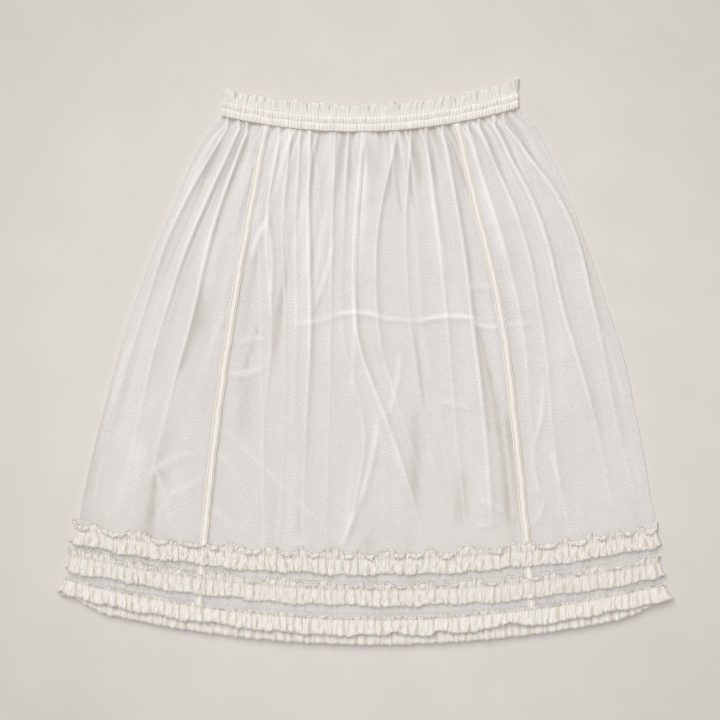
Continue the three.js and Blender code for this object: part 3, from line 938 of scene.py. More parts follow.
@dataclass
class NetGores:
    """The three gores of the net, each a thin sheet with folds, fine gathers at the waist and creases."""

    layout: Layout
    rows: int = 132
    crease_rows: int = 18
    crease_band: tuple = (0.355, 0.42)  # where the storage crease crosses the skirt
    flat_columns: int = 9
    fold_columns: int = 15
    back_flat_columns: int = 9
    turn_columns: int = 6
    turn_pack: float = 2.2
    waist_gathers: int = 40
    waist_gather_rise: float = 1.6
    gather_depth: float = 0.22
    waist_pack: float = 1.22  # how many layers the gathered net counts as at the waist
    hem_pack: float = 0.82
    front_streaks: int = 120
    back_streaks: int = 80
    gap_rise: float = 0.9
    lie_over: float = 0.2
    least_reach: float = 4.5
    crest_pack: float = 1.25
    panel_pack: float = 0.36
    panel_reach: float = 9.0
    # thins the net beside a fold, which also paints shade into its colour there
    trough_thin_and_shade: float = 0.5
    trough_reach: float = 7.0
    fullest_rise: float = 2.2  # a fold taller than this makes the net no denser
    thinnest: float = 0.25
    seam_calm: float = 9.0  # the net lies flatter within this distance of a seam
    streak_rise: float = 0.7
    crease_rise: float = 0.9
    gather_pack: float = 1.8
    # thins the net between the waist's gathers, which also paints shade into its colour there
    waist_thin_and_shade: float = 0.9
    streak_pack: float = 1.5
    crease_pack: float = 1.8
    gap_pack: float = 0.3
    # thins the left gore's net, which also paints shade into its colour
    left_fullness_and_shade: float = -0.22
    back_gather_rise: float = 0.5
    back_streak_rise: float = 0.25
    back_tallest: float = 1.8
    back_gather_pack: float = 0.8

    def __post_init__(self) -> None:
        """Works out the rows' heights and lines."""
        even = np.linspace(0, 1, self.rows)
        self.down = np.unique(np.concatenate([even, np.linspace(*self.crease_band, self.crease_rows)]))
        self.line = self.layout.line(self.down)
        self.lift = self.layout.lift(self.down)
        self.front_z = FRONT_Z + self.lift
        self.back_z = BACK_Z + self.lift
        self.radius = (self.front_z - self.back_z) / 2
        held = mix(0.6, 1.0, smooth_step(0.0, 0.05, self.down))
        self.fold_share = (held * (1 - smooth_step(0.8, 0.865, self.down)))[:, None]
        self.free = mix(1.0, 0.3, smooth_step(0.82, 0.87, self.down))[:, None]

    def share(self, x: np.ndarray) -> np.ndarray:
        """How far x lies across the skirt, from 0 at its left fold to 1 at its right."""
        return (x - self.line.left_x) / (self.line.right_x - self.line.left_x)

    def sweep(self, folds: tuple, start: np.ndarray, end: np.ndarray, flat: int) -> Sweep:
        """Lays the net from start to end with these folds in it.

        Args:
            folds: the folds, from left to right.
            start: x where it starts, one for each row.
            end: x where it ends.
            flat: columns in each flat stretch between two folds.

        Returns:
            The stretch, from left to right.
        """
        crests = [Track(FOLD_HEIGHTS, fold.x)(self.down)[:, None] for fold in folds]
        rises = [Track(FOLD_HEIGHTS, fold.rise)(self.down)[:, None] * self.fold_share for fold in folds]
        t = np.linspace(-1, 1, self.fold_columns, endpoint=False)[None, :]
        bump = (0.5 + 0.5 * np.cos(math.pi * t)) ** 0.85
        share = np.linspace(0, 1, flat, endpoint=False)[None, :]
        wider = 1.3 + 0.9 * self.down[:, None]
        x, rise = [], []
        reached = start
        for i, fold in enumerate(folds):
            before = crests[i] - (crests[i - 1] if i else start)
            after = (crests[i + 1] if i + 1 < len(folds) else end) - crests[i]
            left, right = [max(reach, self.least_reach) * wider for reach in fold.reach]
            left, right = np.minimum(left, 0.47 * before), np.minimum(right, 0.47 * after)
            over = self.lie_over * fold.over * rises[i] / max(fold.rise)
            over = np.clip(over, -0.5 * left, 0.5 * right)
            x.append(mix(reached, crests[i] - left, share))
            rise.append(np.zeros_like(x[-1]))
            x.append(crests[i] + t * np.where(t < 0, left, right) + over * bump)
            rise.append(rises[i] * bump)
            reached = crests[i] + right
        last = np.linspace(0, 1, flat + 1)[None, :]
        x.append(mix(reached, end, last))
        rise.append(np.zeros_like(x[-1]))
        x = np.hstack(x)
        pack = np.ones_like(x)
        for fold, crest, height in zip(folds, crests, rises):
            pack += self.fold_pack(fold, x - crest, height)
        return Sweep(x, np.hstack(rise), pack)

    def fold_pack(self, fold: Fold, off: np.ndarray, rise: np.ndarray) -> np.ndarray:
        """How much denser or thinner a fold makes the net.

        Args:
            fold: the fold, whose wider side is the fuller one.
            off: how far each point lies to the right of its crest.
            rise: the crest's rise, row by row.

        Returns:
            What it adds: a bright crest, a full panel on its wide side and a thin trough on the other, where
                the net's colour also gets painted shade.
        """
        side = off * (1 if fold.reach[1] > fold.reach[0] else -1)
        wider = 1 + 0.8 * self.down[:, None]
        crest = self.crest_pack * np.exp(-((off / (1.2 * wider)) ** 2))
        panel = self.panel_pack * smooth_step(-1.5, 1.5, side)
        panel = panel * np.exp(-np.maximum(side, 0) / (self.panel_reach * wider))
        # the trough thins the net, and below one layer it paints shade into the net's colour
        trough = self.trough_thin_and_shade * smooth_step(0.5, 3.5, -side)
        trough = trough * np.exp(-np.maximum(-side, 0) / (self.trough_reach * wider))
        trough = trough * mix(1.0, 0.5, smooth_step(0.3, 0.8, self.down))[:, None]
        return (crest + panel - trough) * np.minimum(rise, self.fullest_rise)

    def fine_gathers(self, x: np.ndarray, seed: int) -> np.ndarray:
        """The many small gathers that fan out of the waist seam, uneven in width, height and length.

        Args:
            x: points across the skirt, row by row.
            seed: picks which gathers these are.

        Returns:
            Their height as a share of the tallest, in the shape of x.
        """
        random = np.random.default_rng(seed)
        share = self.share(x)
        steps = random.uniform(0.6, 1.5, self.waist_gathers)
        middles = (np.cumsum(steps) - 0.5 * steps) / steps.sum()
        down = self.down[:, None]
        total = np.zeros_like(x)
        for middle, step in zip(middles, steps / steps.sum()):
            depth = self.gather_depth * random.uniform(0.3, 1.4)
            reach = step * random.uniform(0.25, 0.4) * (0.6 + 0.9 * np.minimum(down / depth, 1.2))
            height = random.uniform(0.4, 1.3)
            fade = (1 - smooth_step(0.15 * depth, depth, down)) * smooth_step(-0.012, 0.01, down)
            drift = middle + 0.3 * step * random.uniform(-1, 1) * down / depth
            total += height * fade * np.exp(-(((share - drift) / reach) ** 2))
        return total

    def streaks(self, x: np.ndarray, seed: int, count: int) -> np.ndarray:
        """Soft shallow folds that run down the net, some raised and dense and some sunk and thin, where the
        net's colour also gets painted shade.

        Args:
            x: points across the skirt, row by row.
            seed: picks which streaks these are.
            count: how many cross the whole skirt.

        Returns:
            Their sum at each point, mostly from -1 to 1.
        """
        random = np.random.default_rng(seed)
        share = self.share(x)
        down = self.down[:, None]
        total = np.zeros_like(x)
        for _ in range(count):
            middle = random.uniform(0.0, 1.0)
            strength = random.uniform(-0.75, 1.0)
            reach = random.uniform(0.003, 0.026 if strength > 0 else 0.014)
            top, length = random.uniform(-0.2, 0.85), random.uniform(0.15, 0.6)
            slant = random.uniform(-0.035, 0.035)
            along = (down - top) / length
            window = smooth_step(0.0, 0.3, along) * (1 - smooth_step(0.6, 1.0, along))
            total += strength * window * np.exp(-(((share - middle - slant * along) / reach) ** 2))
        return total

    def front(self, folds: tuple, start: np.ndarray, end: np.ndarray, fullness: float = 0.0) -> tuple:
        """Lays a front stretch from start to end.

        Args:
            folds: its folds, from left to right.
            start: x where it starts, one for each row.
            end: x where it ends.
            fullness: how much denser than elsewhere its net is; below nought it also darkens the net with
                painted shade.

        Returns:
            Its points and how densely its net is gathered.
        """
        sweep = self.sweep(folds, start, end, self.flat_columns)
        y = self.line.front_y(sweep.x)
        near = (smooth_step(0, self.seam_calm, away) for away in (sweep.x - start, end - sweep.x))
        calm = mix(0.3, 1.0, math.prod(near))
        gathers = self.fine_gathers(sweep.x, 11) * calm
        near_waist = (1 - smooth_step(0.03, 0.2, self.down))[:, None] * calm
        in_gaps = smooth_step(0.875, 0.895, self.down)[:, None]
        streaks = self.streaks(sweep.x, 12, self.front_streaks) * calm * self.free
        crease = self.layout.crease(sweep.x, y) * mix(0.7, 1.0, self.free)
        loose = smooth_step(0.0, 0.05, self.down)[:, None] * self.free * calm
        z = self.front_z + sweep.rise + self.waist_gather_rise * gathers
        z = z + self.streak_rise * streaks + self.crease_rise * crease + self.gap_rise * in_gaps * calm
        z = z + self.layout.billow(sweep.x, y) * loose
        # below one layer the net also gets painted shade: between the waist's gathers, in the left gore and
        # along sunk streaks
        pack = sweep.pack + fullness + self.gather_pack * gathers - self.waist_thin_and_shade * near_waist
        pack = pack + self.streak_pack * streaks + self.crease_pack * crease + self.gap_pack * in_gaps
        return np.stack([sweep.x, y, z], axis=-1), np.maximum(pack, self.thinnest)

    def back(self, folds: tuple, start: np.ndarray, end: np.ndarray) -> tuple:
        """The points of a back stretch, from left to right, and how densely its net is gathered."""
        sweep = self.sweep(folds, start, end, self.back_flat_columns)
        y = self.line.back_y(sweep.x)
        gathers = self.fine_gathers(sweep.x, 17)
        streaks = self.streaks(sweep.x, 14, self.back_streaks)
        rise = sweep.rise + self.back_gather_rise * gathers + self.back_streak_rise * np.maximum(streaks, 0)
        z = self.back_z + np.minimum(rise, self.back_tallest)
        pack = sweep.pack + self.back_gather_pack * gathers + streaks
        return np.stack([sweep.x, y, z], axis=-1), np.maximum(pack, self.thinnest)

    def turn(self, side: int) -> tuple:
        """The points round a side fold, from the back to the front, without its two end columns."""
        angle = np.linspace(-math.pi / 2, math.pi / 2, self.turn_columns + 2)[None, 1:-1]
        edge = self.line.left_x if side < 0 else self.line.right_x
        x = edge - side * self.radius + side * self.radius * np.cos(angle)
        z = self.back_z + self.radius + self.radius * np.sin(angle)
        y = self.line.front_y(x)
        return np.stack([x, y, z], axis=-1), np.full_like(x, self.turn_pack)

    def edge(self, side: int) -> np.ndarray:
        """x where a side fold begins to turn."""
        return (self.line.left_x if side < 0 else self.line.right_x) - side * self.radius

    def seam(self, name: str, side: int) -> np.ndarray:
        """x of a gore's edge at a seam, on the seam's left or right."""
        return self.layout.seam_x(name, self.down) + side * SEAM_GAP / 2

    def gore(self, name: str, stretches: list) -> bpy.types.Object:
        """Joins stretches of points into one sheet with its cloth map and its gathering.

        Args:
            name: the piece's name.
            stretches: pairs of points and gathering, in order round the skirt.

        Returns:
            The gore.
        """
        points = np.concatenate([points for points, _ in stretches], axis=1)
        pack = np.concatenate([pack for _, pack in stretches], axis=1)
        steps = np.linalg.norm(np.diff(points, axis=1), axis=2)
        reach = np.concatenate([np.zeros((len(points), 1)), np.cumsum(steps, axis=1)], axis=1)
        widest = reach[-1, -1]
        held = mix(self.waist_pack, self.hem_pack, smooth_step(0.0, 0.8, self.down))[:, None]
        across = (reach / reach[:, -1:] - 0.5) * widest * MM
        downs = np.linalg.norm(np.diff(points, axis=0), axis=2).mean(axis=1)
        along = np.concatenate([[0.0], np.cumsum(downs)])[:, None] * MM
        uv = np.stack([across, -along + np.zeros_like(across)], axis=-1)
        piece = cloth_object(name, points, uv)
        set_shade(piece, "gather", pack * held)
        return piece

    def build(self) -> dict:
        """Builds the three gores.

        Returns:
            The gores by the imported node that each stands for.
        """
        centre = self.front(CENTRE_FOLDS, self.seam("front_left", 1), self.seam("front_right", -1))
        left = self.front(LEFT_FOLDS, self.edge(-1), self.seam("front_left", -1), self.left_fullness_and_shade)
        right = self.front(RIGHT_FOLDS, self.seam("front_right", 1), self.edge(1))
        back_left = self.back(BACK_LEFT_FOLDS, self.edge(-1), self.seam("back", -1))
        back_right = self.back(BACK_RIGHT_FOLDS, self.seam("back", 1), self.edge(1))
        reverse = [tuple(a[:, ::-1] for a in stretch) for stretch in (back_left, back_right, self.turn(1))]
        return {
            "front_centre": self.gore("net_front_centre", [centre]),
            "gore_left": self.gore("net_gore_left", [reverse[0], self.turn(-1), left]),
            "gore_right": self.gore("net_gore_right", [right, reverse[2], reverse[1]]),
        }


# The tapes and the back seam


@dataclass
class SeamStrips:
    """The two tapes on the front and the doubled net of the back seam, with their stitches."""

    layout: Layout
    rows: int = 170
    tape_wall: float = 0.5
    tape_crown: float = 0.25
    tape_clearance: float = 0.5
    tape_billow: float = 0.3  # the share of the net's unevenness that the tape follows
    tape_ripple: tuple = (Wave(0.25, 61), Wave(0.2, 143, 1))
    seam_width: float = 3.4
    seam_edge: float = 0.38  # how far each raised edge lies from the seam's middle, as a share of its width
    seam_rise: float = 0.35
    seam_layers: tuple = (1.4, 3.6)  # how many layers of net it counts as, between its edges and on them
    seam_wander: tuple = (Wave(0.5, 23), Wave(0.3, 71, 2))
    tape_shares: tuple = (-0.5, 0.5, 11)  # the tape's columns, as shares of its width
    stitch_share: float = 0.3  # how far each row of stitches lies from the tape's middle
    stitch_columns: tuple = (2, 8)  # the columns at those shares
    stitch_starts: tuple = (0.3, 1.1)
    stitch_pitch: float = 2.1
    stitch_length: float = 1.6
    stitch_thick: float = 0.85
    # painted shade along the tape's two rows of stitches
    painted_stitch_shade: float = 0.75  # how strongly the cloth is shaded along the stitches
    painted_stitch_shade_reach: float = 0.09

    def strip(self, name: str, x: np.ndarray, y: np.ndarray, z: np.ndarray) -> bpy.types.Object:
        """A narrow strip of cloth down the skirt."""
        down = np.concatenate([[0.0], np.cumsum(np.abs(np.diff(y.mean(axis=1))))])[:, None] * MM
        across = (x - x.mean(axis=1, keepdims=True)) * MM
        uv = np.stack([across, -down + np.zeros_like(x)], axis=-1)
        return cloth_object(name, np.stack([x, y, z], axis=-1), uv)

    def tape(self, name: str, seam: str) -> tuple:
        """A tape over a front seam, with two rows of stitches.

        Args:
            name: the piece's name.
            seam: the seam that it covers.

        Returns:
            The tape and its stitches.
        """
        down = np.linspace(0, 1, self.rows)
        line = self.layout.line(down)
        share = np.linspace(*self.tape_shares)[None, :]
        x = self.layout.seam_x(seam, down) + share * TAPE_WIDTH + add_waves(down, self.tape_ripple)[:, None]
        y = line.front_y(x)
        level = FRONT_Z + self.layout.lift(down) + self.tape_billow * self.layout.billow(x, y)
        z = level + self.tape_clearance + self.tape_crown * (1 - (2 * share) ** 2) + self.tape_wall
        piece = self.strip(name, x, y, z)
        # painted shade along the two rows of stitches
        rows = np.exp(-(((np.abs(share) - self.stitch_share) / self.painted_stitch_shade_reach) ** 2))
        set_shade(piece, "painted_crevice_shade", self.painted_stitch_shade * rows + np.zeros_like(x))
        thicken(piece, self.tape_wall)
        grid = np.stack([x, y, z + 0.1], axis=-1)
        rows = zip(self.stitch_columns, self.stitch_starts)
        found = [along_path(grid[:, column], self.stitch_pitch, start) for column, start in rows]
        places = Places.level(*(np.concatenate(parts) for parts in zip(*found)))
        stitch = stitch_pattern(self.stitch_length, self.stitch_thick)
        return piece, scatter(name + "_stitches", stitch, places)

    def back_seam(self) -> bpy.types.Object:
        """The doubled net of the back seam, inside the skirt, with its two raised edges."""
        down = np.linspace(0.0, 1, self.rows)
        line = self.layout.line(down)
        share = np.linspace(-0.5, 0.5, 9)[None, :]
        wander = add_waves(down, self.seam_wander)[:, None]
        x = self.layout.seam_x("back", down) + share * self.seam_width + wander
        y = line.back_y(x)
        edges = np.exp(-(((np.abs(share) - self.seam_edge) / 0.12) ** 2))
        z = BACK_Z + self.layout.lift(down) + self.seam_rise * (1 + edges)
        piece = self.strip("back_seam", x, y, z)
        set_shade(piece, "gather", mix(*self.seam_layers, edges) + np.zeros_like(x))
        return piece


# Shared by the band and the ruffles


@dataclass
class Ring:
    """Stations round a flat tube: along the front, round the right fold, back and round the left fold."""

    left_x: float
    right_x: float
    front_z: float
    back_z: float
    front_step: float
    back_step: float
    turn_steps: int = 8

    def __post_init__(self) -> None:
        """Works out each station's x, z, outward way and side of the skirt."""
        radius = (self.front_z - self.back_z) / 2
        middle = (self.front_z + self.back_z) / 2
        inner_left, inner_right = self.left_x + radius, self.right_x - radius
        width = inner_right - inner_left
        front = np.linspace(inner_left, inner_right, int(width / self.front_step))
        back = np.linspace(inner_right, inner_left, int(width / self.back_step))
        angle = np.linspace(math.pi / 2, -math.pi / 2, self.turn_steps + 2)[1:-1]
        cos, sin = np.cos(angle), np.sin(angle)
        self.front_count = len(front)
        self.x = np.concatenate([front, inner_right + radius * cos, back, inner_left - radius * cos])
        self.facing = np.concatenate([front * 0 + 1, sin, back * 0 - 1, -sin])
        self.z = middle + radius * self.facing
        self.out_x = np.concatenate([0 * front, cos, 0 * back, -cos])
        self.front_share = smooth_step(-1, 1, self.facing)
        steps = np.hypot(np.diff(self.x, append=self.x[0]), np.diff(self.z, append=self.z[0]))
        self.length = steps.sum()
        self.reach = np.concatenate([[0.0], np.cumsum(steps)[:-1]])
        self.from_end = np.minimum(self.x - self.left_x, self.right_x - self.x)

    def cloth_reach(self, fullness: float) -> np.ndarray:
        """The cloth map's distance round the ring in metres, with the closing column."""
        return np.append(self.reach, self.length)[None, :] * fullness * MM


@dataclass(frozen=True)
class Gathers:
    """Uneven gathers round a ring: each station's bump from 0 to 1, and its gather's height and lean.

    swell carries the gather's two sides out over its neighbours.
    """

    bump: np.ndarray
    height: np.ndarray
    lean: np.ndarray
    swell: np.ndarray

    @staticmethod
    def spread(ring: Ring, narrow: float, wide: float, roundness: float, seed: int) -> "Gathers":
        """Spreads gathers of random widths round a ring.

        Args:
            ring: the stations.
            narrow: the least width of a gather.
            wide: the greatest width.
            roundness: below 1 the crests are broad and the troughs narrow.
            seed: picks which gathers these are.

        Returns:
            The gathers at each station.
        """
        random = np.random.default_rng(seed)
        widths = random.uniform(narrow, wide, int(2 * ring.length / (narrow + wide)))
        ends = np.cumsum(widths) * ring.length / widths.sum()
        starts = np.concatenate([[0.0], ends[:-1]])
        which = np.clip(np.searchsorted(ends, ring.reach, side="right"), 0, len(ends) - 1)
        phase = (ring.reach - starts[which]) / (ends - starts)[which]
        bump = np.clip(np.sin(math.pi * phase), 0, 1) ** roundness
        height = random.uniform(0.5, 1.25, len(ends))[which]
        lean = random.uniform(-1.0, 1.0, len(ends))[which]
        return Gathers(bump, height, lean, -np.sin(2 * math.pi * phase))

    @property
    def rise(self) -> np.ndarray:
        """How far each station stands out, as a share of a common height."""
        return self.bump * self.height

    @property
    def trough(self) -> np.ndarray:
        """How deep each station lies between two gathers, from 0 to 1."""
        return (1 - self.bump) ** 1.1


# The waistband


@dataclass
class Waistband:
    """The shirred band: a frilled top edge over two gathered casings, round the whole waist."""

    layout: Layout
    top: float = 29.0
    upper_stitch: float = 17.6
    lower_stitch: float = 9.6
    front_z: float = 2.9
    back_z: float = 0.45
    wall: float = 0.5
    puff: float = 0.9
    rib: float = 1.8
    petal: float = 3.4
    petal_lean: float = 3.6
    petal_tip: float = 4.2
    crease_tip: float = 1.1
    shirring_pitch: float = 3.1
    shirring_stitch: tuple = (1.6, 0.5)  # length and thickness
    loop_pitch: float = 3.9
    loop: tuple = (3.3, 0.6)  # width and thickness
    fullness: float = 1.9
    frill_rows: int = 11
    casing_rows: int = 8
    sewn_rib: float = 0.25  # the share of its height that a rib keeps along the upper stitches
    frill_stand: float = 0.6
    crease_stand: tuple = (0.7, 0.9)  # halfway up the frill and at its edge
    petal_curl: float = 1.5  # the greater, the nearer to the edge the petals open
    petal_swell: float = 1.4
    crease_swell: float = 0.8
    rib_lean: float = 0.5
    back_share: float = 0.3  # the share of their height that ribs and petals keep on the back
    taper: float = 0.012  # how much narrower the frill's top is than the seam
    side_out: float = 0.7  # the share of its height that the cloth shows sideways at the folds
    raised: float = 0.4  # how far the band's lower edge lies above the net's top line
    ripple: tuple = (Wave(0.35, 1 / 4.7),)
    # painted shade: the rows of shirring and the gathers' creases darken the band's colour
    row_reach: float = 0.8  # how far a row of shirring shades the cloth above and below it
    row_shade: tuple = (0.45, 0.85)  # on a rib and between two
    crease_shade: float = 0.6

    def __post_init__(self) -> None:
        """Works out the stations and the shares of the frill and the casings."""
        line = self.layout.line(np.zeros(1))
        self.left, self.right = float(line.left_x[0, 0]), float(line.right_x[0, 0])
        self.line = line
        self.ring = Ring(
            self.left, self.right, front_z=self.front_z, back_z=self.back_z, front_step=0.62, back_step=0.85
        )
        frill = np.linspace(self.top, self.upper_stitch, self.frill_rows, endpoint=False)
        upper = np.linspace(self.upper_stitch, self.lower_stitch, self.casing_rows, endpoint=False)
        lower = np.linspace(self.lower_stitch, 0.0, self.casing_rows + 1)
        self.up = np.concatenate([frill, upper, lower])[:, None]
        self.in_frill = np.clip((self.up - self.upper_stitch) / (self.top - self.upper_stitch), 0, 1)
        in_upper = (self.up - self.lower_stitch) / (self.upper_stitch - self.lower_stitch)
        in_lower = self.up / self.lower_stitch
        self.upper_swell, self.lower_swell = (
            np.clip(np.sin(math.pi * np.clip(share, 0, 1)), 0, 1) ** 0.6 for share in (in_upper, in_lower)
        )
        self.upper_ribs = Gathers.spread(self.ring, narrow=1.9, wide=4.2, roundness=0.8, seed=21)
        self.lower_ribs = Gathers.spread(self.ring, narrow=2.1, wide=4.6, roundness=0.8, seed=22)
        self.petals = Gathers.spread(self.ring, narrow=8.5, wide=16.0, roundness=0.7, seed=23)
        self.creases = Gathers.spread(self.ring, narrow=2.8, wide=5.6, roundness=0.8, seed=24)

    def outward(self) -> np.ndarray:
        """How far the cloth stands out at each row and station."""
        low = self.in_frill * (1 - self.in_frill) * 4
        low_stand, edge_stand = self.crease_stand
        ribs = self.upper_swell * self.upper_ribs.rise + self.lower_swell * self.lower_ribs.rise
        ribs = ribs + self.sewn_rib * self.upper_ribs.rise * (1 - self.in_frill)
        frill = self.petal * self.petals.rise * self.in_frill**self.petal_curl
        frill = self.frill_stand * self.in_frill + frill
        frill = frill + (low_stand * low + edge_stand * self.in_frill) * self.creases.rise
        return 0.5 * self.puff * (self.upper_swell + self.lower_swell) + self.rib * ribs + frill

    def painted_crevice_shade(self) -> np.ndarray:
        """How much painted shade darkens each point, from 0 to 1: deeper in the creases of the gathers and
        along the rows of shirring.
        """
        upper = self.upper_swell * self.upper_ribs.trough + self.lower_swell * self.lower_ribs.trough
        stitched = (self.upper_stitch, self.lower_stitch)
        near = [np.exp(-(((self.up - row) / self.row_reach) ** 2)) for row in stitched]
        rows = (near[0] + near[1]) * mix(*self.row_shade, self.upper_ribs.trough)
        frill = self.in_frill * self.petals.trough + self.crease_shade * self.creases.trough
        return np.clip(upper + rows + np.where(self.in_frill > 0, frill, 0.0), 0, 1)

    def points(self) -> np.ndarray:
        """The band's rows of points."""
        ring = self.ring
        outward = self.outward() * np.where(ring.facing > 0, 1.0, self.back_share)
        across = np.abs(ring.facing)
        centre = (self.left + self.right) / 2
        lean = self.petal_lean * self.petals.lean * self.petals.bump * self.in_frill**self.petal_curl
        sides = self.petal_swell * self.petals.swell + self.crease_swell * self.creases.swell
        lean = lean + sides * self.in_frill
        for ribs, swell in ((self.lower_ribs, self.lower_swell), (self.upper_ribs, self.upper_swell)):
            lean = lean + self.rib_lean * ribs.lean * ribs.bump * swell
        x = centre + (ring.x - centre) * (1 - self.taper * self.up / self.top)
        x = x + self.side_out * ring.out_x * outward + lean * across
        tip = self.petal_tip * (self.petals.rise * self.petals.bump - 0.5)
        tip = tip + self.crease_tip * (self.creases.rise - 0.5)
        y = self.line.front_y(ring.x[None, :]) + self.up + self.raised + tip * self.in_frill**2
        y = y + add_waves(ring.reach, self.ripple) * (self.up > 0) * (1 - self.in_frill)
        return np.stack(np.broadcast_arrays(x, y, ring.z + outward * across), axis=-1)

    def stitch_row(self, name: str, row: np.ndarray, finishes: Finishes) -> bpy.types.Object:
        """A row of shirring stitches along a row of the band's points."""
        ways = np.stack([self.ring.out_x, 0 * self.ring.x, self.ring.facing], axis=-1)
        path = row + 0.15 * ways
        middle, along = along_path(np.concatenate([path, path[:1]]), self.shirring_pitch)
        level = (self.front_z + self.back_z) / 2
        up = np.stack([0 * middle[:, 0], 0 * middle[:, 0], np.sign(middle[:, 2] - level)], axis=-1)
        places = Places(middle, along, np.cross(up, along), up)
        piece = scatter(name, stitch_pattern(*self.shirring_stitch), places)
        finish_piece(piece, finishes.thread, Slot.BAND)
        return piece

    def seam_loops(self, row: np.ndarray, finishes: Finishes) -> bpy.types.Object:
        """The looped stitches along the band's lower edge, on the front."""
        middle, along = along_path(row[: self.ring.front_count], self.loop_pitch)
        places = Places.level(middle + [0.0, -0.7, 0.45], along)
        piece = scatter("waist_seam_loops", loop_pattern(*self.loop), places)
        finish_piece(piece, finishes.thread, Slot.BAND)
        return piece

    def build(self, finishes: Finishes) -> tuple:
        """Builds the band and its stitches.

        Args:
            finishes: the materials.

        Returns:
            The band and a list of the threads on it.
        """
        points = self.points()
        uv = np.stack(np.broadcast_arrays(self.ring.cloth_reach(self.fullness), self.up * MM), axis=-1)
        piece = cloth_object("shirred_waistband", points, uv, ring=True)
        set_shade(piece, "painted_crevice_shade", self.painted_crevice_shade())
        thicken(piece, self.wall)
        finish_piece(piece, finishes.band, Slot.BAND, "waistband")
        threads = [
            self.stitch_row("upper_shirring", points[self.frill_rows], finishes),
            self.stitch_row("lower_shirring", points[self.frill_rows + self.casing_rows], finishes),
            self.seam_loops(points[-1], finishes),
        ]
        return piece, threads


# The ruffles


@dataclass(frozen=True)
class Bulge:
    """A place where the lower ruffle's edge is tucked up: x, half width and how far."""

    x: float
    reach: float
    lift: float


@dataclass(frozen=True)
class Dip:
    """A place where a heading falls forward over its flounce: x and half width."""

    x: float
    reach: float


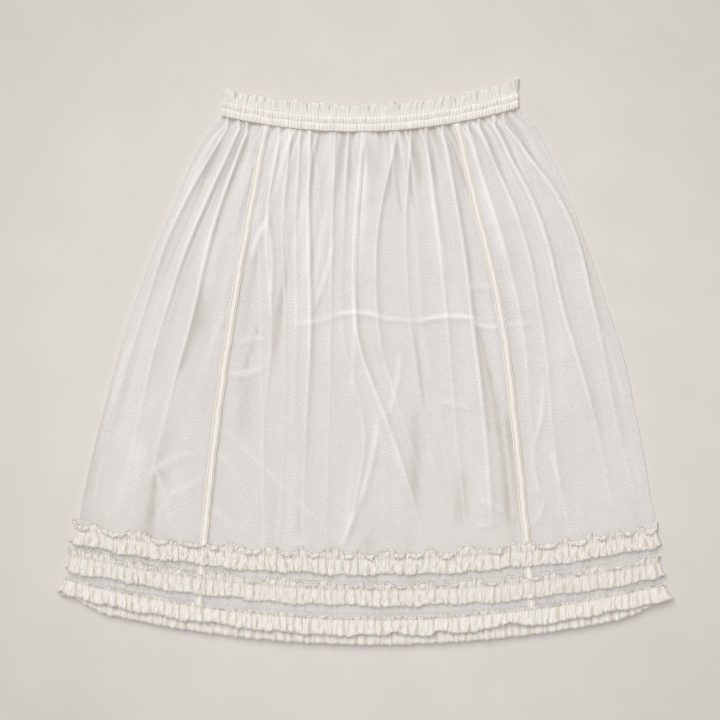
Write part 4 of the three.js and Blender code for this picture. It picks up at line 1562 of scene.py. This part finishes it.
@dataclass
class Ruffle:
    """One gathered lace ruffle round the hem: a frilled heading over a flounce, joined by a stitch line.

    depth is how far the heading falls in its dips, and back_loft how full the back half is.
    """

    name: str
    node: str
    layout: Layout
    down: float
    left_y: float
    right_y: float
    sag: float
    heading: float
    flounce: float
    seed: int
    dips: tuple = ()
    bulges: tuple = ()
    depth: float = 1.0
    back_loft: float = 0.45
    back_stand: float = 0.1
    front_stand: float = 0.2
    picots_all_round: bool = False
    wall: float = 0.4
    heading_rows: int = 10
    flounce_rows: int = 9
    heading_tilt: float = 0.06
    fold_share: float = 0.5
    fold_height: float = 0.09
    fold_roll: float = 0.09
    least_fall: float = 0.16
    fall_waves: tuple = (Wave(0.1, 1 / 17, 1), Wave(0.06, 1 / 6.1, 2))
    edge_waves: tuple = (Wave(0.8, 1 / 19, 1), Wave(0.8, 1 / 7.3, 3))
    flare: float = 7.0
    sewn_depth: float = 0.3
    fine_depth: tuple = (0.6, 0.5)  # at the stitch line and at the edge, like the shades below
    # painted shade: how strongly creases and the stitch line darken the lace's colour
    fine_shade: tuple = (0.55, 0.4125)
    pleat_shade: tuple = (0.55, 1.0)
    frill_shade: tuple = (0.55, 0.9)
    sewn_shade: float = 0.25
    held_depth: tuple = (0.4, 1.15)  # the gathers' share of their depth, where weakest and where strongest
    held_shade: tuple = (0.6, 1.25)
    pleat_lean: float = 2.2
    pleat_swell: float = 0.5
    pleat_tip: float = 1.7
    pleat_depth: float = 1.7
    crumple: float = 0.42
    bend: float = 0.8
    scallop: float = 1.1
    scallop_pitch: float = 5.4
    frill_lean: float = 1.6
    frill_swell: float = 0.8
    frill_tip: float = 1.9
    frill_depth: float = 1.7
    fullness: float = 1.8
    picot_pitch: float = 2.8
    picot: tuple = (2.7, 0.8)  # width and thickness
    stitch_pitch: float = 2.6
    stitch: tuple = (1.3, 0.4)  # length and thickness
    over_tape_rise: float = 1.1
    least_picot_heading: float = 3.0  # a heading that shows less than this has no picots of its own
    past_net: float = 0.9  # how far the strip lies outside the net at the folds, and in front of it
    dip_edges: tuple = (0.2, 2.4)  # in half widths: a dip is full up to the first and gone past the second
    upright_end: float = 6.0  # the heading stands up again within this distance of the folds
    least_stand: float = 0.2
    tuck_stand: float = 0.3
    back_tilt: float = 0.03
    heading_flare: float = 0.25  # the heading's share of the flare
    fan: float = 0.75  # the share of the flare by which the strip fans out near the folds
    fan_reach: float = 24.0
    end_turn: float = 3.0  # how far the edges draw apart right at the folds
    end_turn_reach: float = 7.0
    side_out: tuple = (0.25, 0.6, 0.7)  # the shares of flare, stand and gathers that show at the folds
    picot_inset: float = 0.15
    picot_raise: float = 0.4
    picot_tilt: float = 0.35  # the share of the edge's slope that its loops keep
    flat_picots_below: float = 1.8  # loops on an edge lower than this lie flat
    least_picot_z: float = 0.6

    def __post_init__(self) -> None:
        """Works out the stations and their gathers."""
        down = np.array([self.down])
        line = self.layout.line(down)
        left, right = float(line.left_x[0, 0]) - self.past_net, float(line.right_x[0, 0]) + self.past_net
        self.front_z = FRONT_Z + float(self.layout.lift(down)[0, 0]) + self.past_net
        self.ring = Ring(left, right, self.front_z, back_z=0.35, front_step=0.62, back_step=1.3)
        self.front = smooth_step(-0.3, 0.3, self.ring.facing)[None, :]
        self.loft = mix(self.back_loft, 1.0, self.front)
        self.pleats = Gathers.spread(self.ring, narrow=4.2, wide=11.5, roundness=0.75, seed=self.seed)
        self.fine = Gathers.spread(self.ring, narrow=2.6, wide=4.4, roundness=0.7, seed=self.seed + 1)
        self.frills = Gathers.spread(self.ring, narrow=3.8, wide=9.5, roundness=0.8, seed=self.seed + 2)
        heading = np.linspace(1, 0, self.heading_rows)[:, None]
        flounce = np.linspace(0, 1, self.flounce_rows + 1)[1:, None]
        self.share = np.vstack([heading, flounce])
        self.in_heading = (np.arange(len(self.share)) < self.heading_rows)[:, None]

    def stitch_y(self) -> np.ndarray:
        """y of the stitch line at each station."""
        ends = [np.array([[v]]) for v in (self.ring.left_x, self.left_y, self.ring.right_x, self.right_y)]
        line = Line(*ends, np.array([[self.sag]]), np.array([[BACK_DROP * self.down]]))
        x = self.ring.x[None, :]
        return mix(line.back_y(x)[0], line.front_y(x)[0], self.ring.front_share)

    def fall(self) -> np.ndarray:
        """How far the heading falls forward at each station, from 0 to 1."""
        x = self.ring.x
        total = self.least_fall + add_waves(x, self.fall_waves, self.seed)
        for dip in self.dips:
            off = np.abs(x - dip.x) / dip.reach
            total = np.maximum(total, self.depth * (1 - smooth_step(*self.dip_edges, off)))
        total = total * smooth_step(0.0, self.upright_end, self.ring.from_end)
        return np.where(self.ring.facing > 0, np.clip(total, 0, 1), 0.0)

    def over_tape(self) -> np.ndarray:
        """How far the tapes under the ruffle raise it at each station."""
        down = np.array([self.down])
        raised = np.zeros_like(self.ring.x)
        for seam in ("front_left", "front_right"):
            off = np.abs(self.ring.x - float(self.layout.seam_x(seam, down)[0, 0]))
            raised += self.over_tape_rise * (1 - smooth_step(TAPE_WIDTH / 2, TAPE_WIDTH / 2 + 3, off))
        return raised * (self.ring.facing > 0)

    def tuck(self) -> np.ndarray:
        """How far the flounce's edge is tucked up at each station."""
        total = np.zeros_like(self.ring.x)
        for bulge in self.bulges:
            total = total + bulge.lift * np.exp(-(((self.ring.x - bulge.x) / bulge.reach) ** 2))
        return total * (self.ring.facing > 0)

    def profile(self) -> tuple:
        """The strip's own shape before its gathers.

        Returns:
            How far each row and station lies up the skirt from the stitch line, and how far out of it.
        """
        fall = self.fall()[None, :]
        back = self.ring.facing[None, :] < -0.2
        q = self.share[: self.heading_rows]
        past = q - self.fold_share
        turned = math.hypot(self.fold_share, self.fold_roll) - np.hypot(past, self.fold_roll)
        up = self.heading * mix(q, turned, fall)
        upright = self.heading_tilt * (smooth_step(0.0, 0.3, q) - 0.6 * q)
        out = self.heading * mix(upright, self.fold_height * smooth_step(0.05, 0.7, q), fall)
        out = np.where(back, self.back_tilt * self.heading * q, out)
        p = self.share[self.heading_rows :]
        tuck = self.tuck()[None, :]
        down = -self.flounce * p + tuck * p**2
        front_stand = self.least_stand + self.front_stand * p**1.3 + self.tuck_stand * tuck * p
        stand = np.where(back, self.back_stand * p**1.5, front_stand)
        return np.vstack([up, down]), np.vstack([out, stand])

    def gathers(self) -> np.ndarray:
        """How far the gathers stand out of the strip at each row and station."""
        fine = self.fine.rise * mix(*self.fine_depth, self.share)
        flounce = self.pleats.rise * (self.sewn_depth + self.pleat_depth * self.share**0.8)
        heading = self.frills.rise * (self.sewn_depth + self.frill_depth * self.share**0.6)
        total = fine + np.where(self.in_heading, heading, flounce) * mix(*self.held_depth, self.held())
        total = total + self.crumple * self.waves(3, 0.8, 2.0, 0.9) * self.share**0.5
        return np.maximum(total, 0.0) * self.loft

    def waves(self, pick: int, narrowest: float, widest: float, slant: float) -> np.ndarray:
        """A mix of slanting waves at each row and station, from about -1 to 1.

        Args:
            pick: picks which waves these are.
            narrowest: the least turn of a wave in radians for each millimetre across.
            widest: the greatest.
            slant: the greatest turn for each millimetre down.

        Returns:
            The waves' sum.
        """
        random = np.random.default_rng(self.seed + pick)
        reach = self.ring.reach[None, :]
        down = self.share * np.where(self.in_heading, -self.heading, self.flounce)
        total = np.zeros(np.broadcast_shapes(reach.shape, down.shape))
        for _ in range(7):
            across, along = random.uniform(narrowest, widest), random.uniform(-slant, slant)
            total += np.sin(across * reach + along * down + random.uniform(0, 2 * math.pi))
        return total / 2

    def held(self) -> np.ndarray:
        """How strong the gathers are at each row and station, from 0 to 1: they start and stop."""
        return smooth_step(-0.7, 0.7, self.waves(4, 0.2, 0.7, 0.5))

    def painted_crevice_shade(self) -> np.ndarray:
        """How much painted shade darkens each point, from 0 to 1: deeper in the creases of the gathers and
        along the stitch line.
        """
        fine = self.fine.trough * mix(*self.fine_shade, self.share)
        flounce = self.pleats.trough * mix(*self.pleat_shade, self.share) + fine
        heading = self.frills.trough * mix(*self.frill_shade, self.share) + fine
        sewn = self.sewn_shade * np.exp(-((self.share / 0.08) ** 2))
        crease_shade_painted = np.where(self.in_heading, heading, flounce) * mix(*self.held_shade, self.held())
        return np.clip(crease_shade_painted + sewn, 0, 1)

    def points(self) -> np.ndarray:
        """The ruffle's rows of points."""
        ring, share = self.ring, self.share
        up, out = self.profile()
        gather = self.gathers()
        frill = self.frill_lean * self.frills.lean * self.frills.bump + self.frill_swell * self.frills.swell
        pleat = self.pleat_lean * self.pleats.lean * self.pleats.bump + self.pleat_swell * self.pleats.swell
        lean = np.where(self.in_heading, frill, pleat)
        frill_tip = self.frill_tip * (self.frills.rise - 0.5)
        pleat_tip = self.pleat_tip * (self.pleats.rise - 0.6)
        tip = np.where(self.in_heading, frill_tip, -pleat_tip)
        wander = add_waves(ring.x, self.edge_waves, self.seed)
        y = self.stitch_y()[None, :] + up + (tip + wander * self.front) * share * self.loft
        fan = smooth_step(self.fan_reach, 0.0, ring.from_end) * np.sign(ring.x)
        fan = fan[None, :] * self.front
        width = np.where(self.in_heading, self.heading_flare * self.flare, self.flare) * share
        scallop = np.abs(np.sin(math.pi * ring.reach * self.fullness / self.scallop_pitch))[None, :]
        y = y + np.sign(up) * self.scallop * (scallop - 0.6) * (share > 0.99)
        near_end = smooth_step(self.end_turn_reach, 0.0, ring.from_end)[None, :] * self.front
        y = y - self.end_turn * np.sign(up) * share**2 * near_end
        bend = self.bend * self.waves(5, 0.25, 0.6, 0.5) * self.front
        x = ring.x[None, :] + (lean + bend) * share * self.loft + self.fan * fan * width
        side_out = sum(part * show for part, show in zip((width, out, gather), self.side_out))
        x = x + ring.out_x[None, :] * side_out
        z = ring.z[None, :] + (out + gather) * np.maximum(np.abs(ring.facing), 0.3)[None, :]
        z = z + self.over_tape()[None, :] * np.where(self.in_heading, 1 - share, 1 - 0.7 * share)
        return np.stack(np.broadcast_arrays(x, y, z), axis=-1)

    def build(self, finishes: Finishes) -> tuple:
        """Builds the ruffle, its picot edges and its gathering stitches.

        Args:
            finishes: the materials.

        Returns:
            The ruffle and a list of the small things on it.
        """
        points = self.points()
        inset = np.where(self.in_heading, self.heading, self.flounce) * (1 - self.share) * MM
        uv = np.stack(np.broadcast_arrays(self.ring.cloth_reach(self.fullness), inset), axis=-1)
        piece = cloth_object(self.name, points, uv, ring=True)
        set_shade(piece, "away", np.broadcast_to(1 - self.front, points.shape[:2]))
        set_shade(piece, "painted_crevice_shade", self.painted_crevice_shade())
        thicken(piece, self.wall)
        finish_piece(piece, finishes.lace, Slot.LACE, self.node)
        extras = [self.picots("flounce", points[-1], points[-2], finishes)]
        if self.heading > self.least_picot_heading:
            extras.append(self.picots("heading", points[0], points[1], finishes))
        extras.append(self.stitches(points[self.heading_rows - 1], finishes))
        return piece, extras

    def picots(
        self, where: str, edge: np.ndarray, inner: np.ndarray, finishes: Finishes
    ) -> bpy.types.Object:
        """The tiny loops of thread along one edge.

        Args:
            where: which edge, for the name.
            edge: the edge's points.
            inner: the points of the row inside it.
            finishes: the materials.

        Returns:
            The loops as one piece.
        """
        if not self.picots_all_round:
            edge, inner = edge[: self.ring.front_count], inner[: self.ring.front_count]
        middle, along = along_path(edge, self.picot_pitch)
        nearest = np.linalg.norm(edge[None, ::2] - middle[:, None], axis=2).argmin(axis=1) * 2
        outward = unit(edge[nearest] - inner[nearest])
        outward = unit(outward - along * np.sum(outward * along, axis=1, keepdims=True))
        lie = np.where(middle[:, 2] < self.flat_picots_below, 0.0, self.picot_tilt)
        for way in (outward, along):
            way[:, 2] *= lie
        outward, along = unit(outward), unit(along)
        middle = middle - self.picot_inset * outward + [0.0, 0.0, self.picot_raise]
        middle[:, 2] = np.maximum(middle[:, 2], self.least_picot_z)
        places = Places(middle, along, outward, np.cross(along, outward))
        loops = scatter(f"{self.name}_{where}_picots", loop_pattern(*self.picot), places)
        finish_piece(loops, finishes.picot, Slot.LACE)
        return loops

    def stitches(self, path: np.ndarray, finishes: Finishes) -> bpy.types.Object:
        """The gathering stitches that hold the ruffle to the net, on the front."""
        over = path[: self.ring.front_count] + [0.0, 0.0, 0.3]
        places = Places.level(*along_path(over, self.stitch_pitch))
        stitches = scatter(f"{self.name}_stitches", stitch_pattern(*self.stitch), places)
        finish_piece(stitches, finishes.ruffle_thread, Slot.LACE)
        return stitches


UPPER_DIPS = (
    Dip(-317, 5), Dip(-285, 11), Dip(-232, 9), Dip(-199, 15), Dip(-170, 5.6), Dip(-128, 8), Dip(-91, 7),
    Dip(-62, 7), Dip(-21, 4.5), Dip(4, 7), Dip(36, 4.5), Dip(55, 7), Dip(88, 8), Dip(146, 8),
    Dip(201, 10.6), Dip(237, 7), Dip(263, 6), Dip(292, 7), Dip(314, 5),
)
MIDDLE_DIPS = (
    Dip(-278, 6), Dip(-244, 7), Dip(-193, 8), Dip(-129, 9), Dip(-64, 8), Dip(-16, 6), Dip(2, 5),
    Dip(36, 8), Dip(78, 6), Dip(96, 5), Dip(138, 9), Dip(186, 8), Dip(219, 6), Dip(235, 5), Dip(277, 8),
    Dip(299, 5),
)
HEM_BULGES = (Bulge(-166, 14, 5), Bulge(30, 8, 3), Bulge(82, 7, 4), Bulge(158, 12, 7), Bulge(-290, 8, 3))


def ruffles(layout: Layout) -> list:
    """The three ruffles from the top down."""
    return [
        Ruffle(
            "ruffle_upper", "tier_upper", layout, down=0.885, left_y=-185, right_y=-188, sag=32,
            heading=12.0, flounce=16.5, seed=31, dips=UPPER_DIPS,
        ),
        Ruffle(
            "ruffle_middle", "tier_middle", layout, down=0.94, left_y=-214, right_y=-222, sag=35,
            heading=10.0, flounce=17.0, seed=41, dips=MIDDLE_DIPS, depth=0.8,
        ),
        Ruffle(
            "ruffle_lower", "tier_lower", layout, down=0.99, left_y=-241, right_y=-247, sag=42,
            heading=2.5, flounce=16.5, seed=51, bulges=HEM_BULGES, back_loft=1.0, back_stand=5.5,
            front_stand=2.8, picots_all_round=True,
        ),
    ]


# The scene


@dataclass(frozen=True)
class Studio:
    """The surface, the light and the camera, which looks straight down."""

    view_centre: tuple = (-0.0084, 0.0039)
    height: float = 1.904
    lens: float = 85.0
    floor_size: float = 6.0
    floor_colour: tuple = (0.775, 0.733, 0.7, 1.0)
    # painted shade: the floor's colour darkens further out, for the light's falloff
    floor_painted_falloff: tuple = (0.3, 0.6, 1.0, 0.905)  # full tone up to 0.3 m out, and 0.905 of it from 0.6 m
    key_colour: tuple = (1.0, 0.995, 0.99)
    sky_colour: tuple = (1.0, 0.955, 0.905, 1.0)
    key_strength: float = 1.32
    key_way: tuple = (-0.42, 0.8, 1.0)  # towards the key light
    key_spread: float = math.radians(36)
    top_power: float = 30.0
    top_size: float = 1.4
    top_place: tuple = (-0.12, 0.1, 2.4)
    sky_strength: float = 0.165
    sensor: float = 36.0

    def floor(self) -> None:
        """Makes the pale surface under the skirt, with painted shade that darkens it further out for the
        light's falloff.
        """
        bpy.ops.object.select_all(action="DESELECT")
        bpy.ops.mesh.primitive_plane_add(size=self.floor_size, location=(0, 0, -0.2 * MM))
        floor = bpy.context.active_object
        floor.name = "floor"
        bpy.ops.object.transform_apply(location=True, rotation=False, scale=False)
        material, graph, shader = start_material("pale_floor")
        mottle = graph.uneven(graph.noise(graph.place(), 14.0, 4.0))
        colour = graph.blend(mottle, dimmed(self.floor_colour, 0.97), self.floor_colour)
        # painted shade: darker further from the middle
        length = graph.add("ShaderNodeVectorMath", operation="LENGTH")
        graph.put(length.inputs[0], graph.place())
        shade = graph.remap(length.outputs["Value"], *self.floor_painted_falloff)
        painted_falloff = graph.add("ShaderNodeVectorMath", operation="SCALE")
        graph.put(painted_falloff.inputs[0], colour)
        graph.put(painted_falloff.inputs["Scale"], shade)
        graph.put(shader.inputs["Base Color"], painted_falloff.outputs["Vector"])
        shader.inputs["Roughness"].default_value = 0.95
        floor.data.materials.append(material)

    def stand(self, name: str, data: bpy.types.ID, place: tuple = (0, 0, 0)) -> bpy.types.Object:
        """Puts a light or a camera in the scene."""
        holder = bpy.data.objects.new(name, data)
        holder.location = place
        bpy.context.scene.collection.objects.link(holder)
        return holder

    def lights(self) -> None:
        """Makes the soft key light, the light overhead and the sky."""
        key = bpy.data.lights.new("key", "SUN")
        key.energy = self.key_strength
        key.angle = self.key_spread
        key.color = self.key_colour
        lamp = self.stand("key", key)
        lamp.rotation_euler = Vector(self.key_way).to_track_quat("Z", "Y").to_euler()
        top = bpy.data.lights.new("top", "AREA")
        top.shape = "DISK"
        top.size = self.top_size
        top.energy = self.top_power
        self.stand("top", top, self.top_place)
        world = bpy.data.worlds.new("sky")
        world.use_nodes = True
        background = world.node_tree.nodes["Background"]
        background.inputs["Color"].default_value = self.sky_colour
        background.inputs["Strength"].default_value = self.sky_strength
        bpy.context.scene.world = world

    def build(self) -> None:
        """Makes the floor, the lights and the camera."""
        scene = bpy.context.scene
        scene.view_settings.view_transform = "Standard"
        self.floor()
        self.lights()
        camera = bpy.data.cameras.new("camera")
        camera.lens = self.lens
        camera.sensor_width = self.sensor
        scene.camera = self.stand("camera", camera, (*self.view_centre, self.height))


def dress_net(layout: Layout, finishes: Finishes) -> None:
    """Builds the net with its tapes and seam, and logs what it made."""
    gores = NetGores(layout).build()
    for node, piece in gores.items():
        finish_piece(piece, finishes.net, Slot.NET, node)
    strips = SeamStrips(layout)
    on_seams = []
    for side in ("left", "right"):
        tape, stitches = strips.tape(f"{side}_tape", f"front_{side}")
        finish_piece(tape, finishes.tape, Slot.TAPE, f"tape_{side}")
        finish_piece(stitches, finishes.thread, Slot.TAPE)
        on_seams += [tape, stitches]
    seam = strips.back_seam()
    finish_piece(seam, finishes.seam, Slot.NET)
    LOG.info("net: three gores, two tapes and the back seam")


def main() -> None:
    """Builds the skirt piece by piece and sets the scene."""
    logging.basicConfig(level=logging.INFO, format="%(name)s: %(message)s")
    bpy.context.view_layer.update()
    Studio().build()
    finishes = build_finishes()
    layout = Layout()
    dress_net(layout, finishes)
    band, threads = Waistband(layout).build(finishes)
    LOG.info("waistband: %d pieces of stitching", len(threads))
    for ruffle in ruffles(layout):
        piece, extras = ruffle.build(finishes)
        LOG.info("%s: %d triangles", ruffle.name, 2 * len(piece.data.polygons))


if __name__ == "__main__":
    main()
